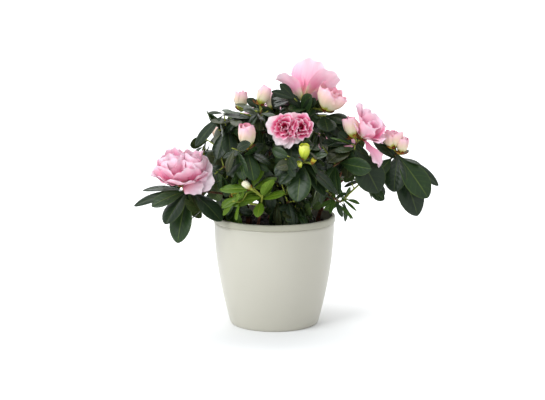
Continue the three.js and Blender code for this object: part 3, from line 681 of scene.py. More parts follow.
def grow_marked_twigs(mass, shoots, grown):
    """The finer twigs that stand out, each from the nearest place on a shoot."""
    nearest = nearest_start(mass, shoots, (0.5, 0.7, 0.9))
    placed = []
    for tip, *rows in MARKED_TWIGS.get(mass.name, ()):
        tip = vec(tip)
        twig = finer_twig(nearest(tip), tip, 0, 0, 0)
        shoots.append(twig)
        for k, (azimuth, elevation, length, width_share, roll, tint) in enumerate(rows):
            way, upper = marked_ways(azimuth, elevation, roll)
            root = tip - twig.way * (0.5 + k)
            made = Blade(root, way, upper, length, width_share * length, math.radians(14))
            made.shoot, made.tint = twig, tint
            placed.append(made)
    grown += placed
    return placed


def inner_twigs(mass, shoots):
    """Finer twigs in the crown's middle, each from the nearest place on a shoot of its mass."""
    draw = seeded(mass.seed + INNER_SEED)
    nearest = nearest_start(mass, shoots, (0, 0.3, 0.6))
    twigs = []
    for x in INNER_ACROSS:
        for y in INNER_BACK:
            for z in INNER_UP:
                tip = vec((x, y, z)) + INNER_JITTER * vec((draw() - 0.5, draw() - 0.5, draw() - 0.5))
                base = nearest(tip)
                if mass.depth_inside(tip)[0] > 4 and np.linalg.norm(tip - base) > 4:
                    twigs.append(finer_twig(base, tip, FINER_LEAVES, INNER_LEAF_LENGTH, INNER_DROOP))
    return twigs


def finer_shoots(mass, shoots, draw):
    """Finer twigs part from the shoots by the same rule, with smaller whorls."""
    finer = []
    for shoot in shoots:
        start = shoot.path[-2]
        for k in range(mass.finer):
            share = 0.3 + 0.6 * (k + draw()) / mass.finer
            base = lerp(start, shoot.tip, share)
            out = leaning(shoot.way, math.radians(50 + 40 * draw()), draw() * TURN + k * GOLDEN)
            long = 8 + 12 * draw()
            tip = base + (out + UP * 0.25) * long
            if not shoot_fits(mass, base, tip, (0.6, 1)):
                continue
            leaf_length = shoot.leaf_length * (0.72 + 0.22 * draw())
            finer.append(finer_twig(base, tip, FINER_LEAVES, leaf_length, shoot.droop * 0.8))
    return finer


def in_open_place(made):
    outer_half = (made.middle + made.ring[2]) / 2
    return any(np.linalg.norm(outer_half - vec(place)) <= radius for place, radius in OPEN_PLACES)


def in_funnel(made):
    """Whether a leaf stands inside an open bloom, which widens from its foot."""
    places = np.vstack([made.tested, made.middle])
    for bloom in ALL_BLOOMS:
        if bloom.kind == "open":
            places_in = (places - bloom.foot) / bloom.size
            high = places_in @ bloom.way
            wide = np.linalg.norm(places_in - np.outer(high, bloom.way), axis=1)
            inside = (high > FUNNEL_FROM) & (high < FUNNEL_TO)
            if (inside & (wide < FUNNEL_FOOT + FUNNEL_WIDENS * high)).any():
                return True
    return False


def grow(mass):
    """All shoots of a mass that bear leaves, and all their leaves."""
    draw = seeded(mass.seed)
    grown = []
    shoots = shoots_of(mass, draw)
    taken = [grow_marked(mass, shoot, grown) for shoot in shoots]
    for shoot, count in zip(shoots, taken):
        grow_whorl(mass, shoot, draw, grown, count)
    shoots = [shoot for shoot in shoots if any(leaf.shoot is shoot for leaf in grown)]
    draw = seeded(mass.seed + FINER_SEED)
    finer = finer_shoots(mass, shoots, draw) + inner_twigs(mass, shoots)
    placed = grow_marked_twigs(mass, shoots, grown)
    for shoot in finer:
        before = len(grown)
        grow_whorl(mass, shoot, draw, grown, 0, placed)
        for made in grown[before:]:
            made.fine = True
        if len(grown) > before:
            shoots.append(shoot)
    return shoots, [made for made in grown if not in_open_place(made) and not in_funnel(made)]


# ---- Gathering grids into joined meshes ----

TILES = 4  # the UV square is 4 by 4 tiles, one for each material slot of a piece
INSET = 0.04  # left free round the edge of a tile, as a share of it
END_OUT, END_RADIUS = 0.3, 0.05  # how a tube's ends are rounded, as shares of its radius


def tile_corner(index):
    return index % TILES + INSET, index // TILES + INSET


class Gather:
    """Grids of one kind, joined into one mesh. A slot's patterns lie in its own tile of the UV map."""

    def __init__(self, slots):
        self.slots = list(slots)
        self.points, self.uvs, self.quads, self.indices = [], [], [], []
        self.count = 0

    def grid(self, points, slot, closed=False, flip=False, u=None, v=None):
        """Adds a grid of rows by columns. u runs across a row, v from row to row, both 0 to 1."""
        rows, columns = points.shape[:2]
        if closed:
            points = np.concatenate([points, points[:, :1]], axis=1)
            columns += 1
        index = self.slots.index(slot)
        u = np.linspace(0, 1, columns) if u is None else u
        v = np.linspace(0, 1, rows) if v is None else v
        left, low = tile_corner(index)
        across_tile, up_tile = (left + (1 - 2 * INSET) * u) / TILES, (low + (1 - 2 * INSET) * v) / TILES
        uv = np.stack(np.broadcast_arrays(across_tile[None, :], up_tile[:, None]), axis=-1)
        first = np.arange(rows - 1)[:, None] * columns + np.arange(columns - 1)[None, :]
        first = first.ravel() + self.count
        quads = np.stack([first, first + 1, first + columns + 1, first + columns], axis=1)
        if flip:
            quads = quads[:, ::-1]
        self.points.append(points.reshape(-1, 3))
        self.uvs.append(uv.reshape(-1, 2))
        self.quads.append(quads)
        self.indices.append(np.full(len(quads), index, dtype=np.int32))
        self.count += rows * columns

    def joined(self, name, materials):
        """An object with all the grids in one mesh, smooth, with a material for each slot."""
        points = np.concatenate(self.points) * MM
        uvs = np.concatenate(self.uvs)
        quads = np.concatenate(self.quads).astype(np.int32)
        mesh = bpy.data.meshes.new(name)
        mesh.vertices.add(len(points))
        mesh.vertices.foreach_set("co", points.ravel())
        mesh.loops.add(quads.size)
        mesh.loops.foreach_set("vertex_index", quads.ravel())
        mesh.polygons.add(len(quads))
        mesh.polygons.foreach_set("loop_start", np.arange(0, quads.size, 4, dtype=np.int32))
        mesh.polygons.foreach_set("material_index", np.concatenate(self.indices))
        mesh.polygons.foreach_set("use_smooth", np.ones(len(quads), dtype=bool))
        layer = mesh.uv_layers.new(name="OFBake")
        layer.data.foreach_set("uv", uvs[quads.ravel()].ravel())
        mesh.update()
        for slot in self.slots:
            mesh.materials.append(materials[slot])
        made = bpy.data.objects.new(name, mesh)
        bpy.context.scene.collection.objects.link(made)
        return made

    def piece(self, name, materials):
        piece = self.joined(name, materials)
        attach(piece, "root")
        return piece


def round_angles(sides):
    return np.linspace(0, TURN, sides, endpoint=False)


def frames_along(places):
    """Two directions square to a path at each of its places, without twist."""
    ways = np.gradient(places, axis=0)
    ways /= np.linalg.norm(ways, axis=1)[:, None]
    first = across(ways[0])[0]
    firsts = []
    for way in ways:
        first = unit(first - way * np.dot(first, way))
        firsts.append(first)
    firsts = np.array(firsts)
    return firsts, np.cross(ways, firsts)


def tube(gather, places, radii, sides, slot, relief=None):
    """A closed tube with rounded ends. relief(share along, angle) adds to the radius as a share."""
    places, radii = np.asarray(places), np.asarray(radii, dtype=float)
    ends = unit(places[0] - places[1]), unit(places[-1] - places[-2])
    first_end = places[0] + ends[0] * radii[0] * END_OUT
    last_end = places[-1] + ends[1] * radii[-1] * END_OUT
    places = np.vstack([first_end, places, last_end])
    radii = np.concatenate([[radii[0] * END_RADIUS], radii, [radii[-1] * END_RADIUS]])
    firsts, seconds = frames_along(places)
    angles = round_angles(sides)
    swell = np.ones((len(places), sides))
    if relief is not None:
        swell += relief(np.linspace(0, 1, len(places))[:, None], angles[None, :])
    round_by = radii[:, None, None] * swell[..., None]
    cosines, sines = np.cos(angles)[None, :, None], np.sin(angles)[None, :, None]
    spokes = cosines * firsts[:, None] + sines * seconds[:, None]
    gather.grid(places[:, None] + spokes * round_by, slot, closed=True)


# ---- Shapes of leaves ----

LEAF_ROWS, LEAF_COLUMNS = 13, 8
FINE_ROWS, FINE_COLUMNS = 9, 6
PETIOLE = 0.07  # share of the length
VEINS, VEIN_SLANT = 8, 1.6
QUILT, LEAF_THICK = 0.006, 0.012  # shares of the length
WIDEST_PAST, OUTLINE_ROUND = 1.34, 0.6  # powers that set where a leaf is widest and how round it is
STALK_HALF, TIP_HALF = 0.07, 0.012  # least half width at the petiole and at the tip, as shares


def leaf_rows(rows):
    """Shares along a leaf, closer together towards its rounded tip."""
    t = 0.5 - 0.5 * np.cos(np.linspace(0.12, 1, rows + 1) * math.pi)
    return (t - t[0]) / (1 - t[0])


def leaf_grid(made, t, columns, lift):
    """A leaf's sheet: a narrow petiole, the widest place past the middle, a folded and quilted face."""
    u = np.linspace(-1, 1, columns + 1)
    body = np.clip((t - PETIOLE) / (1 - PETIOLE), 0, 1)
    outline = np.sin(math.pi * body**WIDEST_PAST) ** OUTLINE_ROUND
    half = made.width / 2 * np.maximum(outline, np.where(t < 0.3, STALK_HALF, TIP_HALF))
    turn = made.bend * np.clip((t - 0.1) / 0.8, 0, 1) ** 1.2
    steps = np.diff(t)[:, None] * made.length
    ways = np.cos(turn)[:, None] * made.way - np.sin(turn)[:, None] * made.top
    tops = np.cos(turn)[:, None] * made.top + np.sin(turn)[:, None] * made.way
    centre = made.root - made.way * ROOT_SUNK + np.cumsum(np.vstack([np.zeros(3), ways[:-1] * steps]), axis=0)
    side = np.abs(u)[None, :]
    fold = 0.26 * side - 0.24 * side**2.4
    phase = VEINS * t[:, None] - VEIN_SLANT * side
    quilt = QUILT * made.length * np.sin(math.pi * (phase % 1)) * side * (1 - side**3)
    rise = half[:, None] * fold + quilt * outline[:, None] + lift * (1 - side**2) * outline[:, None]
    sideways = (half[:, None] * u[None, :])[..., None] * made.side
    return centre[:, None] + sideways + rise[..., None] * tops[:, None]


def leaf(gather, made, tint):
    """A leaf's upper and lower face; the lower one bulges down between the same edges."""
    rows, columns = (FINE_ROWS, FINE_COLUMNS) if made.fine else (LEAF_ROWS, LEAF_COLUMNS)
    v = leaf_rows(rows)
    gather.grid(leaf_grid(made, v, columns, 0), tint, v=v)
    under = leaf_grid(made, v, columns, -LEAF_THICK * made.length)
    gather.grid(under, tint + "_under", flip=True, v=v)


# ---- Shapes of petals, buds and bracts ----


class Petal:
    """One petal's shape: angles from the axis at claw and rim, and sizes as shares of the bloom's."""

    def __init__(self, start, end, length, width, cup, ruffle, waves, ring=0.1, rise=0.05):
        self.start, self.end, self.length, self.width = start, end, length, width
        self.cup, self.ruffle, self.waves, self.ring, self.rise = cup, ruffle, waves, ring, rise


ROUND = 0.42  # how round a petal's outline is: 0.5 for an ellipse
CRIMP, NOTCH = 0.024, 0.022  # how far a petal's rim is crimped and notched, as shares of its length
PETAL_THICK, PETAL_STEPS = 0.14, 40


def petal(gather, foot, axis, turn, size, shape, draw, tint, rows=12, columns=16):
    """A petal as a rounded sheet, two-sided, that leans as it rises and frills towards its rim."""
    first, second = across(axis)
    radial = first * math.cos(turn) + second * math.sin(turn)
    tangent = np.cross(axis, radial)
    up, level = np.linspace(-1, 1, rows + 1)[:, None], np.linspace(-1, 1, columns + 1)[None, :]
    along = (up * np.sqrt(1 - ROUND * level**2) + 1) / 2
    wide = level * np.sqrt(1 - ROUND * up**2)
    swing = (draw() - 0.5) * 12
    length = shape.length * size
    steps = np.linspace(0, 1, PETAL_STEPS + 1)
    leans = np.radians(lerp(shape.start, shape.end, steps**1.2) + swing * steps)
    rise, reach = (
        np.concatenate([[0], np.cumsum(part(leans[:-1])) * length / PETAL_STEPS])
        for part in (np.cos, np.sin)
    )
    lean = np.interp(along, steps, leans)
    outs = np.cos(lean)[..., None] * radial - np.sin(lean)[..., None] * axis
    half = shape.width * size / 2 * lerp(0.22, 1, np.sin(math.pi / 2 * np.clip(along / 0.6, 0, 1)))
    fan_up, fan_side = (along - 0.12) / 0.88, 0.75 * wide
    turn_by, away = np.arctan2(fan_side, fan_up), np.hypot(fan_side, fan_up)
    phases = draw() * TURN, draw() * TURN
    wave = np.sin(2 * shape.waves * turn_by + phases[0])
    wave = wave + 0.3 * np.sin(4.6 * shape.waves * turn_by + phases[1])
    edge = np.maximum(np.abs(up), np.abs(level))
    rim = np.clip((edge - 0.5) * 2, 0, 1) ** 2 * np.clip(away * 2 - 0.6, 0, 1)
    crimp = np.sin(13 * turn_by + 6 * draw()) + 0.6 * np.sin(7.3 * turn_by + 6 * draw())
    frill = shape.ruffle * length * away**3 * wave - shape.cup * half * wide**2
    frill = frill + CRIMP * length * rim * crimp
    along = along - NOTCH * rim * (1 + np.cos(11 * turn_by + 6 * draw()))
    sideways = half * wide * (1 + 0.03 * rim * crimp) + (draw() - 0.5) * 0.3 * half * along**2
    sheet = foot + radial * shape.ring * size + np.interp(along, steps, rise)[..., None] * axis
    sheet = sheet + (shape.rise * size) * axis + np.interp(along, steps, reach)[..., None] * radial
    sheet = sheet + sideways[..., None] * tangent + frill[..., None] * outs
    thick = PETAL_THICK * (1 - edge**8)
    gather.grid(sheet - thick[..., None] * outs, tint + "_in", flip=True)
    gather.grid(sheet + thick[..., None] * outs, tint + "_out")


# Layers of a bloom: petals in the ring, then the petal's shape; a heart's layers stand round each heart.
LAYERS = {
    "double": [
        (6, Petal(72, 40, 1.08, 1.2, 0.15, 0.05, 2.4)),
        (5, Petal(54, 22, 1.08, 1.1, 0.3, 0.05, 2.4)),
    ],
    "ruffled": [(6, Petal(84, 70, 0.72, 0.8, 0.1, 0.06, 2.6))],
    "open": [(6, Petal(24, 80, 1.45, 1.3, 0.1, 0.05, 2.8))],
    "cup": [
        (5, Petal(64, -20, 2.5, 2.0, 0.5, 0.04, 2.6, 0.2)),
        (4, Petal(46, -16, 2.3, 1.6, 0.5, 0.06, 2.6)),
        (3, Petal(20, -12, 2.1, 1.1, 0.5, 0.06, 2.6)),
    ],
}
HEARTS = {
    "double": [
        (5, Petal(40, -12, 1.16, 0.95, 0.4, 0.05, 2.2, 0.1)),
        (4, Petal(24, -16, 1.14, 0.8, 0.5, 0.06, 2.2, 0.08)),
        (4, Petal(10, -12, 1.08, 0.6, 0.6, 0.06, 2.2, 0.04)),
    ],
    "ruffled": [
        (7, Petal(52, 46, 0.8, 0.64, 0.2, 0.07, 2.6, 0.06)),
        (6, Petal(36, 26, 0.8, 0.56, 0.3, 0.09, 2.2, 0.05)),
        (5, Petal(18, 6, 0.78, 0.5, 0.4, 0.1, 2, 0.03)),
    ],
}
# Where a bloom's hearts stand, sideways from its middle, as shares of its radius.
HEARTS_AT = {"double": (-0.32, 0.22), "ruffled": (-0.34, 0.34)}

# Petals that stand out: azimuth, elevation, length, width, curl in degrees, cup, ruffle, waves and tint.
PLACED_PETALS = {
    "left_bloom": [
        (-4, 42, 38, 32, 24, 0.1, 0.05, 2.6, "lilac"), (-12, 14, 35, 30, 20, 0.1, 0.05, 2.6, "lilac"),
        (-40, -10, 27, 20, 20, 0.15, 0.05, 2.6, "lilac"), (176, 20, 32, 26, 20, 0.1, 0.05, 2.6, "rose"),
        (-150, 22, 33, 30, -24, 0.2, 0.05, 2.8, "rose"),
    ],
    "top_bloom": [
        (194, 44, 40, 26, 40, 0.3, 0.05, 2.4, "shell"), (-20, 80, 47, 38, 4, 0.2, 0.04, 2.6, "shell"),
        (0, 38, 46, 42, 14, 0.1, 0.05, 3, "shell"), (-18, 12, 34, 26, 10, 0.3, 0.05, 2.4, "shell"),
        (96, 28, 40, 34, 40, 0.1, 0.05, 2.6, "shell"), (130, 60, 36, 30, 24, 0.1, 0.05, 2.6, "shell"),
    ],
    "centre_bloom": [
        (186, 4, 27, 22, 16, 0.2, 0.06, 2.4, "ruffle"), (200, -34, 24, 18, 16, 0.2, 0.08, 2.6, "ruffle"),
        (226, -62, 22, 13, 20, 0.2, 0.08, 2.6, "ruffle"), (-64, -62, 17, 14, 20, 0.2, 0.08, 2.6, "ruffle"),
    ],
    "right_bloom": [
        (120, 76, 36, 14, 18, 0.5, 0.08, 2.4, "rose"), (60, 66, 32, 18, 22, 0.4, 0.08, 2.6, "rose"),
        (10, 52, 29, 24, -10, 0.5, 0.08, 2.8, "rose"), (-60, 40, 22, 20, -16, 0.5, 0.07, 2.6, "rose"),
        (190, 62, 20, 16, -10, 0.5, 0.05, 2.6, "rose"), (14, 30, 29, 26, -6, 0.4, 0.08, 3, "rose_deep"),
        (-10, 40, 24, 18, -24, 0.6, 0.1, 2.8, "rose_deep"),
        (-40, 56, 22, 16, -24, 0.6, 0.1, 2.8, "rose_deep"),
        (40, 60, 24, 16, -24, 0.6, 0.1, 2.8, "rose_deep"), (-14, 0, 25, 22, 10, 0.3, 0.07, 3, "rose"),
        (-34, -8, 24, 18, 10, 0.3, 0.07, 3, "rose"), (-44, -52, 37, 19, 30, 0.15, 0.05, 2.6, "rose"),
    ],
}
ALL_PLACED = ("top_bloom", "right_bloom")  # blooms with no other petals than these
FACES = {"lilac": (-80, 30)}  # the way that petals of a tint face, where it isn't the bloom's own


def bloom_petals(gather, bloom, draw):
    """A bloom's placed petals first, then its layers by rule, then the layers round each heart."""
    axis, size = bloom.way, bloom.size
    placed = PLACED_PETALS.get(bloom.shoot, []) if bloom.kind != "cup" else []
    for azimuth, elevation, length, width, curl, cup, ruffle, waves, tint in placed:
        way = facing(azimuth, elevation)
        front = facing(*FACES[tint]) if tint in FACES else axis
        first, second = across(front)
        lean, turn = math.degrees(math.acos(way @ front)), math.atan2(way @ second, way @ first)
        shape = Petal(lean - curl / 2, lean + curl / 2, length / size, width / size, cup, ruffle, waves, 0.06)
        petal(gather, bloom.foot, front, turn, size, shape, draw, tint)
    if placed and bloom.shoot in ALL_PLACED:
        return
    phase = draw() * TURN
    for layer, (count, shape) in enumerate(LAYERS[bloom.kind]):
        for k in range(count):
            turn = phase + (k + 0.5 * layer + 0.25 * (draw() - 0.5)) * TURN / count
            petal(gather, bloom.foot, axis, turn, size * (0.94 + 0.12 * draw()), shape, draw, bloom.tint)
    sideways = across(axis)[1]
    for apart in HEARTS_AT.get(bloom.kind, ()):
        foot = bloom.foot + sideways * apart * size * bloom.stretch
        heart_axis = unit(axis + sideways * apart * 0.3)
        for count, shape in HEARTS[bloom.kind]:
            phase = draw() * TURN
            for k in range(count):
                turn = phase + (k + 0.5 * (draw() - 0.5)) * TURN / count
                sized = size * (0.9 + 0.2 * draw())
                petal(gather, foot, heart_axis, turn, sized, shape, draw, bloom.tint + "_deep")


BUD_PETALS, BUD_INNER, BUD_ROWS, BUD_COLUMNS = 5, 3, 16, 14
BUD_TURN, BUD_TWIST, BUD_THICK = math.radians(150), 0.7, 0.25
# How wide a bud is at shares of its length.
BUD_GIRTHS = ((0, 0.07), (0.1, 0.19), (0.25, 0.28), (0.45, 0.35), (0.65, 0.37), (0.82, 0.35), (1, 0.31))


def bud(gather, bloom, draw):
    """A bud of petals that wrap round one another in a spiral, with loose rims round a closed middle."""
    first, second = across(bloom.way)
    z, u = np.linspace(0, 1, BUD_ROWS + 1)[:, None], np.linspace(0, 1, BUD_COLUMNS + 1)[None, :]
    girth = np.interp(z, *zip(*BUD_GIRTHS))
    phase = draw() * TURN
    for k in range(BUD_PETALS + BUD_INNER):
        inner = k >= BUD_PETALS
        high_tip, open_tip = 0.92 + 0.16 * draw(), 0.2 * (draw() - 0.3)
        turns = phase + k * TURN / BUD_PETALS + (u - 0.5) * BUD_TURN + BUD_TWIST * z
        overlap = 0.9 + 0.13 * u + open_tip * z**5
        frill = 0.07 * np.sin(11 * u + 6 * draw()) * z**4
        out = (girth * overlap + frill * girth) * bloom.size
        if inner:
            out = out * (0.8 - 0.45 * z**3)
        rim = 1 - 0.2 * (2 * u - 1) ** 2 * z**2
        high = z * high_tip * rim * bloom.size * (1.04 if inner else 1)
        spokes = np.cos(turns)[..., None] * first + np.sin(turns)[..., None] * second
        sheet = bloom.foot + spokes * out[..., None] + bloom.way * high[..., None]
        gather.grid(sheet, bloom.tint + "_out")
        gather.grid(sheet - spokes * BUD_THICK, bloom.tint + "_in", flip=True)


def bracts(gather, bloom, draw):
    """Papery scales round a bloom's foot."""
    size = {"bud": 1, "cup": 2}.get(bloom.kind, 0.9) * bloom.size
    for k in range(bloom.bracts):
        start, end, length = 100 - 60 * draw(), 50 - 44 * draw(), 0.3 + 0.2 * draw()
        shape = Petal(start, end, length, 0.2, 0.4, 0.06, 1.5, 0.06, -0.05)
        tint = "bract" if draw() < 0.75 else "bract_pale"
        petal(gather, bloom.foot, bloom.way, k * GOLDEN + draw(), size, shape, draw, tint, 5, 4)


# ---- Materials ----


def linear(red, green, blue):
    """A screen colour, 0 to 255, as the linear values that shaders take."""

    def one(value):
        value /= 255
        return value / 12.92 if value <= 0.04045 else ((value + 0.055) / 1.055) ** 2.4

    return (one(red), one(green), one(blue), 1)


class Graph:
    """A material's node tree round its Principled shader."""

    def __init__(self, name, roughness, specular=0.5, **sockets):
        self.material = bpy.data.materials.new(name)
        self.material.use_nodes = True
        self.tree = self.material.node_tree
        self.shader = self.tree.nodes["Principled BSDF"]
        self.shader.inputs["Roughness"].default_value = roughness
        self.shader.inputs["Specular IOR Level"].default_value = specular
        for socket, value in sockets.items():
            self.shader.inputs[socket.replace("_", " ")].default_value = value

    def node(self, kind, inputs, output=0, **settings):
        node = self.tree.nodes.new("ShaderNode" + kind)
        for key, value in settings.items():
            setattr(node, key, value)
        for socket, value in inputs.items():
            if isinstance(value, bpy.types.NodeSocket):
                self.tree.links.new(value, node.inputs[socket])
            else:
                node.inputs[socket].default_value = value
        return node.outputs[output]

    def math(self, operation, a, b=0.0, clamp=False):
        return self.node("Math", {0: a, 1: b}, operation=operation, use_clamp=clamp)

    def times(self, a, b, clamp=False):
        return self.math("MULTIPLY", a, b, clamp)

    def plus(self, a, b, clamp=False):
        return self.math("ADD", a, b, clamp)

    def minus(self, a, b, clamp=False):
        return self.math("SUBTRACT", a, b, clamp)

    def mix(self, factor, a, b):
        return self.node("Mix", {0: factor, 6: a, 7: b}, 2, data_type="RGBA")

    def ramp(self, factor, stops):
        output = self.node("ValToRGB", {0: factor})
        elements = output.node.color_ramp.elements
        for i, (place, colour) in enumerate(stops):
            element = elements[i] if i < 2 else elements.new(place)
            element.position = place
            element.color = colour
        return output

    def local(self, index):
        """u across and v along a blade, from its tile of the UV map."""
        uv = self.node("UVMap", {}, uv_map="OFBake")
        scale = TILES / (1 - 2 * INSET)
        shift = [-corner * scale / TILES for corner in tile_corner(index)] + [0]
        moved = self.node("Mapping", {"Vector": uv, "Location": shift, "Scale": (scale, scale, 1)})
        parts = self.node("SeparateXYZ", {0: moved})
        return parts, parts.node.outputs[1]

    def object_noise(self, scale, detail=3):
        place = self.node("TexCoord", {}, 3)
        return self.node("TexNoise", {"Vector": place, "Scale": scale, "Detail": detail})

    def finish(self, colour=None, height=None, strength=0.4, distance=0.0005, roughness=None):
        links, inputs = self.tree.links, self.shader.inputs
        if colour is not None:
            links.new(colour, inputs["Base Color"])
        if roughness is not None:
            links.new(roughness, inputs["Roughness"])
        if height is not None:
            bump = self.node("Bump", {"Strength": strength, "Distance": distance, "Height": height})
            links.new(bump, inputs["Normal"])
        return self.material


def leaf_material(name, index, *look):
    """Veins that run forward from a pale midrib, with the skin quilted between them."""
    body, shade, rib, rim = (linear(*colour) for colour in look[:4])
    g = Graph(name, look[4], 0.28)
    u, v = g.local(index)
    side = g.times(g.math("ABSOLUTE", g.minus(u, 0.5)), 2.0)
    phase = g.minus(g.times(v, float(VEINS)), g.times(side, VEIN_SLANT))
    between = g.times(g.math("PINGPONG", phase, 0.5), 2.0)
    vein = g.minus(1.0, g.times(between, 6.0), clamp=True)
    midrib = g.minus(1.0, g.times(side, 14.0), clamp=True)
    edge = g.times(g.minus(side, 0.93), 12.0, clamp=True)
    noise = g.object_noise(90.0)
    colour = g.mix(noise, shade, body)
    colour = g.mix(g.times(vein, 0.14), colour, rib)
    colour = g.mix(g.times(midrib, 0.75), colour, rib)
    colour = g.mix(g.times(edge, 0.6), colour, rim)
    height = g.minus(between, g.times(midrib, 1.5))
    fine = g.times(g.object_noise(900.0, 2), 0.35)
    return g.finish(colour, g.plus(height, fine), 0.22, 0.0005)


def petal_material(name, index, stops, streak):
    """A petal's colours from claw to rim, with fine streaks along it."""
    g = Graph(name, 0.62, 0.2, Subsurface_Weight=0.2, Subsurface_Scale=0.003)
    g.shader.inputs["Subsurface Radius"].default_value = (1.0, 0.5, 0.5)
    u, v = g.local(index)
    lines = g.node("CombineXYZ", {0: g.times(u, 26.0), 1: g.times(v, 2.4)})
    streaks = g.node("TexNoise", {"Vector": lines, "Scale": 1.0, "Detail": 3.0})
    shift = g.times(g.minus(streaks, 0.5), streak)
    colour = g.ramp(g.plus(v, shift, clamp=True), stops)
    return g.finish(colour, streaks, 0.25, 0.0004)


# The colours of plant, soil and pot are sRGB values, up to 255.
PINKS = {
    "magenta": (206, 50, 100),
    "heart": (232, 92, 140),
    "deep": (238, 126, 166),
    "rose": (243, 160, 190),
    "pale": (244, 190, 208),
    "lilac": (238, 208, 222),
    "white": (234, 218, 222),
    "cream": (234, 218, 184),
    "peach": (236, 202, 180),
    "lime": (190, 192, 66),
}


def shades(*rows):
    """Colours by their place on a ramp: from claw to rim, or from foot to tip."""
    return [(place, linear(*colour)) for place, *colour in rows]


def stops(*pairs):
    return shades(*((place, *PINKS[name]) for place, name in pairs))


PETAL_LOOKS = {
    "rose_in": (stops((0.1, "deep"), (0.4, "rose"), (0.75, "pale"), (1, "lilac")), 0.2),
    "rose_out": (stops((0.05, "cream"), (0.4, "pale"), (0.75, "pale"), (1, "lilac")), 0.16),
    "rose_deep_in": (stops((0.15, "heart"), (0.5, "deep"), (0.8, "rose"), (1, "lilac")), 0.2),
    "rose_deep_out": (stops((0.1, "deep"), (0.45, "rose"), (0.75, "pale"), (1, "lilac")), 0.2),
    "ruffle_in": (stops((0.1, "deep"), (0.45, "pale"), (0.85, "white"), (1, "white")), 0.2),
    "ruffle_out": (stops((0.1, "cream"), (0.5, "pale"), (1, "white")), 0.2),
    "ruffle_deep_in": (stops((0.4, "magenta"), (0.66, "heart"), (0.86, "rose"), (1, "white")), 0.25),
    "ruffle_deep_out": (stops((0.4, "magenta"), (0.66, "heart"), (0.86, "rose"), (1, "white")), 0.25),
    "shell_in": (stops((0.1, "heart"), (0.4, "rose"), (0.75, "pale"), (1, "lilac")), 0.3),
    "shell_out": (stops((0.03, "lime"), (0.16, "cream"), (0.4, "rose"), (0.7, "pale"), (1, "lilac")), 0.4),
    "lilac_in": (stops((0.1, "deep"), (0.35, "pale"), (0.6, "lilac"), (1, "white")), 0.2),
    "lilac_out": (stops((0.05, "cream"), (0.4, "pale"), (0.75, "lilac"), (1, "white")), 0.2),
    "blush_out": (stops((0.14, "lime"), (0.32, "cream"), (0.55, "peach"), (1, "pale")), 0.3),
    "blush_in": (stops((0.2, "cream"), (0.6, "pale"), (1, "rose")), 0.2),
    "peach_out": (stops((0.16, "lime"), (0.34, "cream"), (0.6, "peach"), (1, "pale")), 0.3),
    "peach_in": (stops((0.2, "cream"), (0.6, "peach"), (1, "rose")), 0.2),
}
SMALL_LOOKS = {
    "green_out": (shades((0.1, 140, 160, 40), (0.6, 206, 214, 70), (1, 226, 226, 120)), 0.3),
    "green_in": (shades((0.1, 140, 160, 40), (1, 206, 214, 70)), 0.2),
    "cream_out": (shades((0.1, 190, 180, 90), (0.5, 240, 232, 196), (1, 246, 238, 210)), 0.3),
    "cream_in": (shades((0.1, 190, 180, 90), (1, 240, 232, 196)), 0.2),
    "russet_out": (shades((0.1, 120, 60, 20), (0.5, 150, 110, 30), (1, 190, 190, 60)), 0.3),
    "russet_in": (shades((0.1, 120, 60, 20), (1, 150, 120, 40)), 0.2),
    "bract_out": (shades((0.1, 104, 50, 20), (0.6, 128, 68, 24), (1, 74, 38, 18)), 0.5),
    "bract_in": (shades((0.1, 130, 76, 30), (1, 84, 42, 20)), 0.5),
    "bract_pale_out": (shades((0.1, 150, 150, 50), (0.6, 176, 130, 52), (1, 120, 66, 26)), 0.5),
    "bract_pale_in": (shades((0.1, 160, 150, 60), (1, 130, 80, 34)), 0.5),
}
# Body, shade, rib and rim, and then the roughness.
LEAF_LOOKS = {
    "dark": ((32, 48, 27), (19, 32, 20), (70, 84, 40), (84, 100, 40), 0.34),
    "mid": ((40, 62, 28), (24, 42, 22), (88, 106, 42), (98, 120, 42), 0.36),
    "olive": ((56, 62, 34), (36, 42, 26), (96, 104, 50), (96, 104, 44), 0.38),
    "fresh": ((66, 98, 28), (44, 72, 24), (124, 146, 50), (124, 150, 46), 0.4),
    "young": ((86, 116, 22), (62, 90, 18), (142, 158, 50), (124, 146, 40), 0.42),
}
UNDER_LOOK = ((74, 92, 46), (56, 74, 38), (110, 122, 64), (96, 114, 52), 0.55)
YOUNG_UNDER = ((116, 146, 48), (94, 126, 38), (154, 174, 74), (128, 156, 54), 0.55)

LEAF_SLOTS = [tint + half for tint in LEAF_LOOKS for half in ("", "_under")]
PETAL_SLOTS = list(PETAL_LOOKS)
SMALL_SLOTS = list(SMALL_LOOKS)


def leaf_materials():
    made = {}
    for index, slot in enumerate(LEAF_SLOTS):
        tint = slot.removesuffix("_under")
        if slot == tint:
            look = LEAF_LOOKS[tint]
        else:
            look = YOUNG_UNDER if tint in ("young", "fresh") else UNDER_LOOK
        made[slot] = leaf_material("leaf_" + slot, index, *look)
    return made


def petal_materials(looks):
    return {slot: petal_material("petal_" + slot, i, *look) for i, (slot, look) in enumerate(looks.items())}


def mottled(g, fine, coarse, share):
    """Fine noise, and its blend with coarse noise."""
    flecks, patches = g.object_noise(*fine), g.object_noise(*coarse)
    return flecks, g.plus(g.times(flecks, share), g.times(patches, 1 - share))


def bark_material(name, light, dark, roughness):
    g = Graph(name, roughness, 0.3)
    flakes, factor = mottled(g, (420, 4), (90, 2), 0.6)
    colour = g.ramp(factor, shades((0.38, *dark), (0.62, *light)))
    return g.finish(colour, flakes, 0.6, 0.0008)


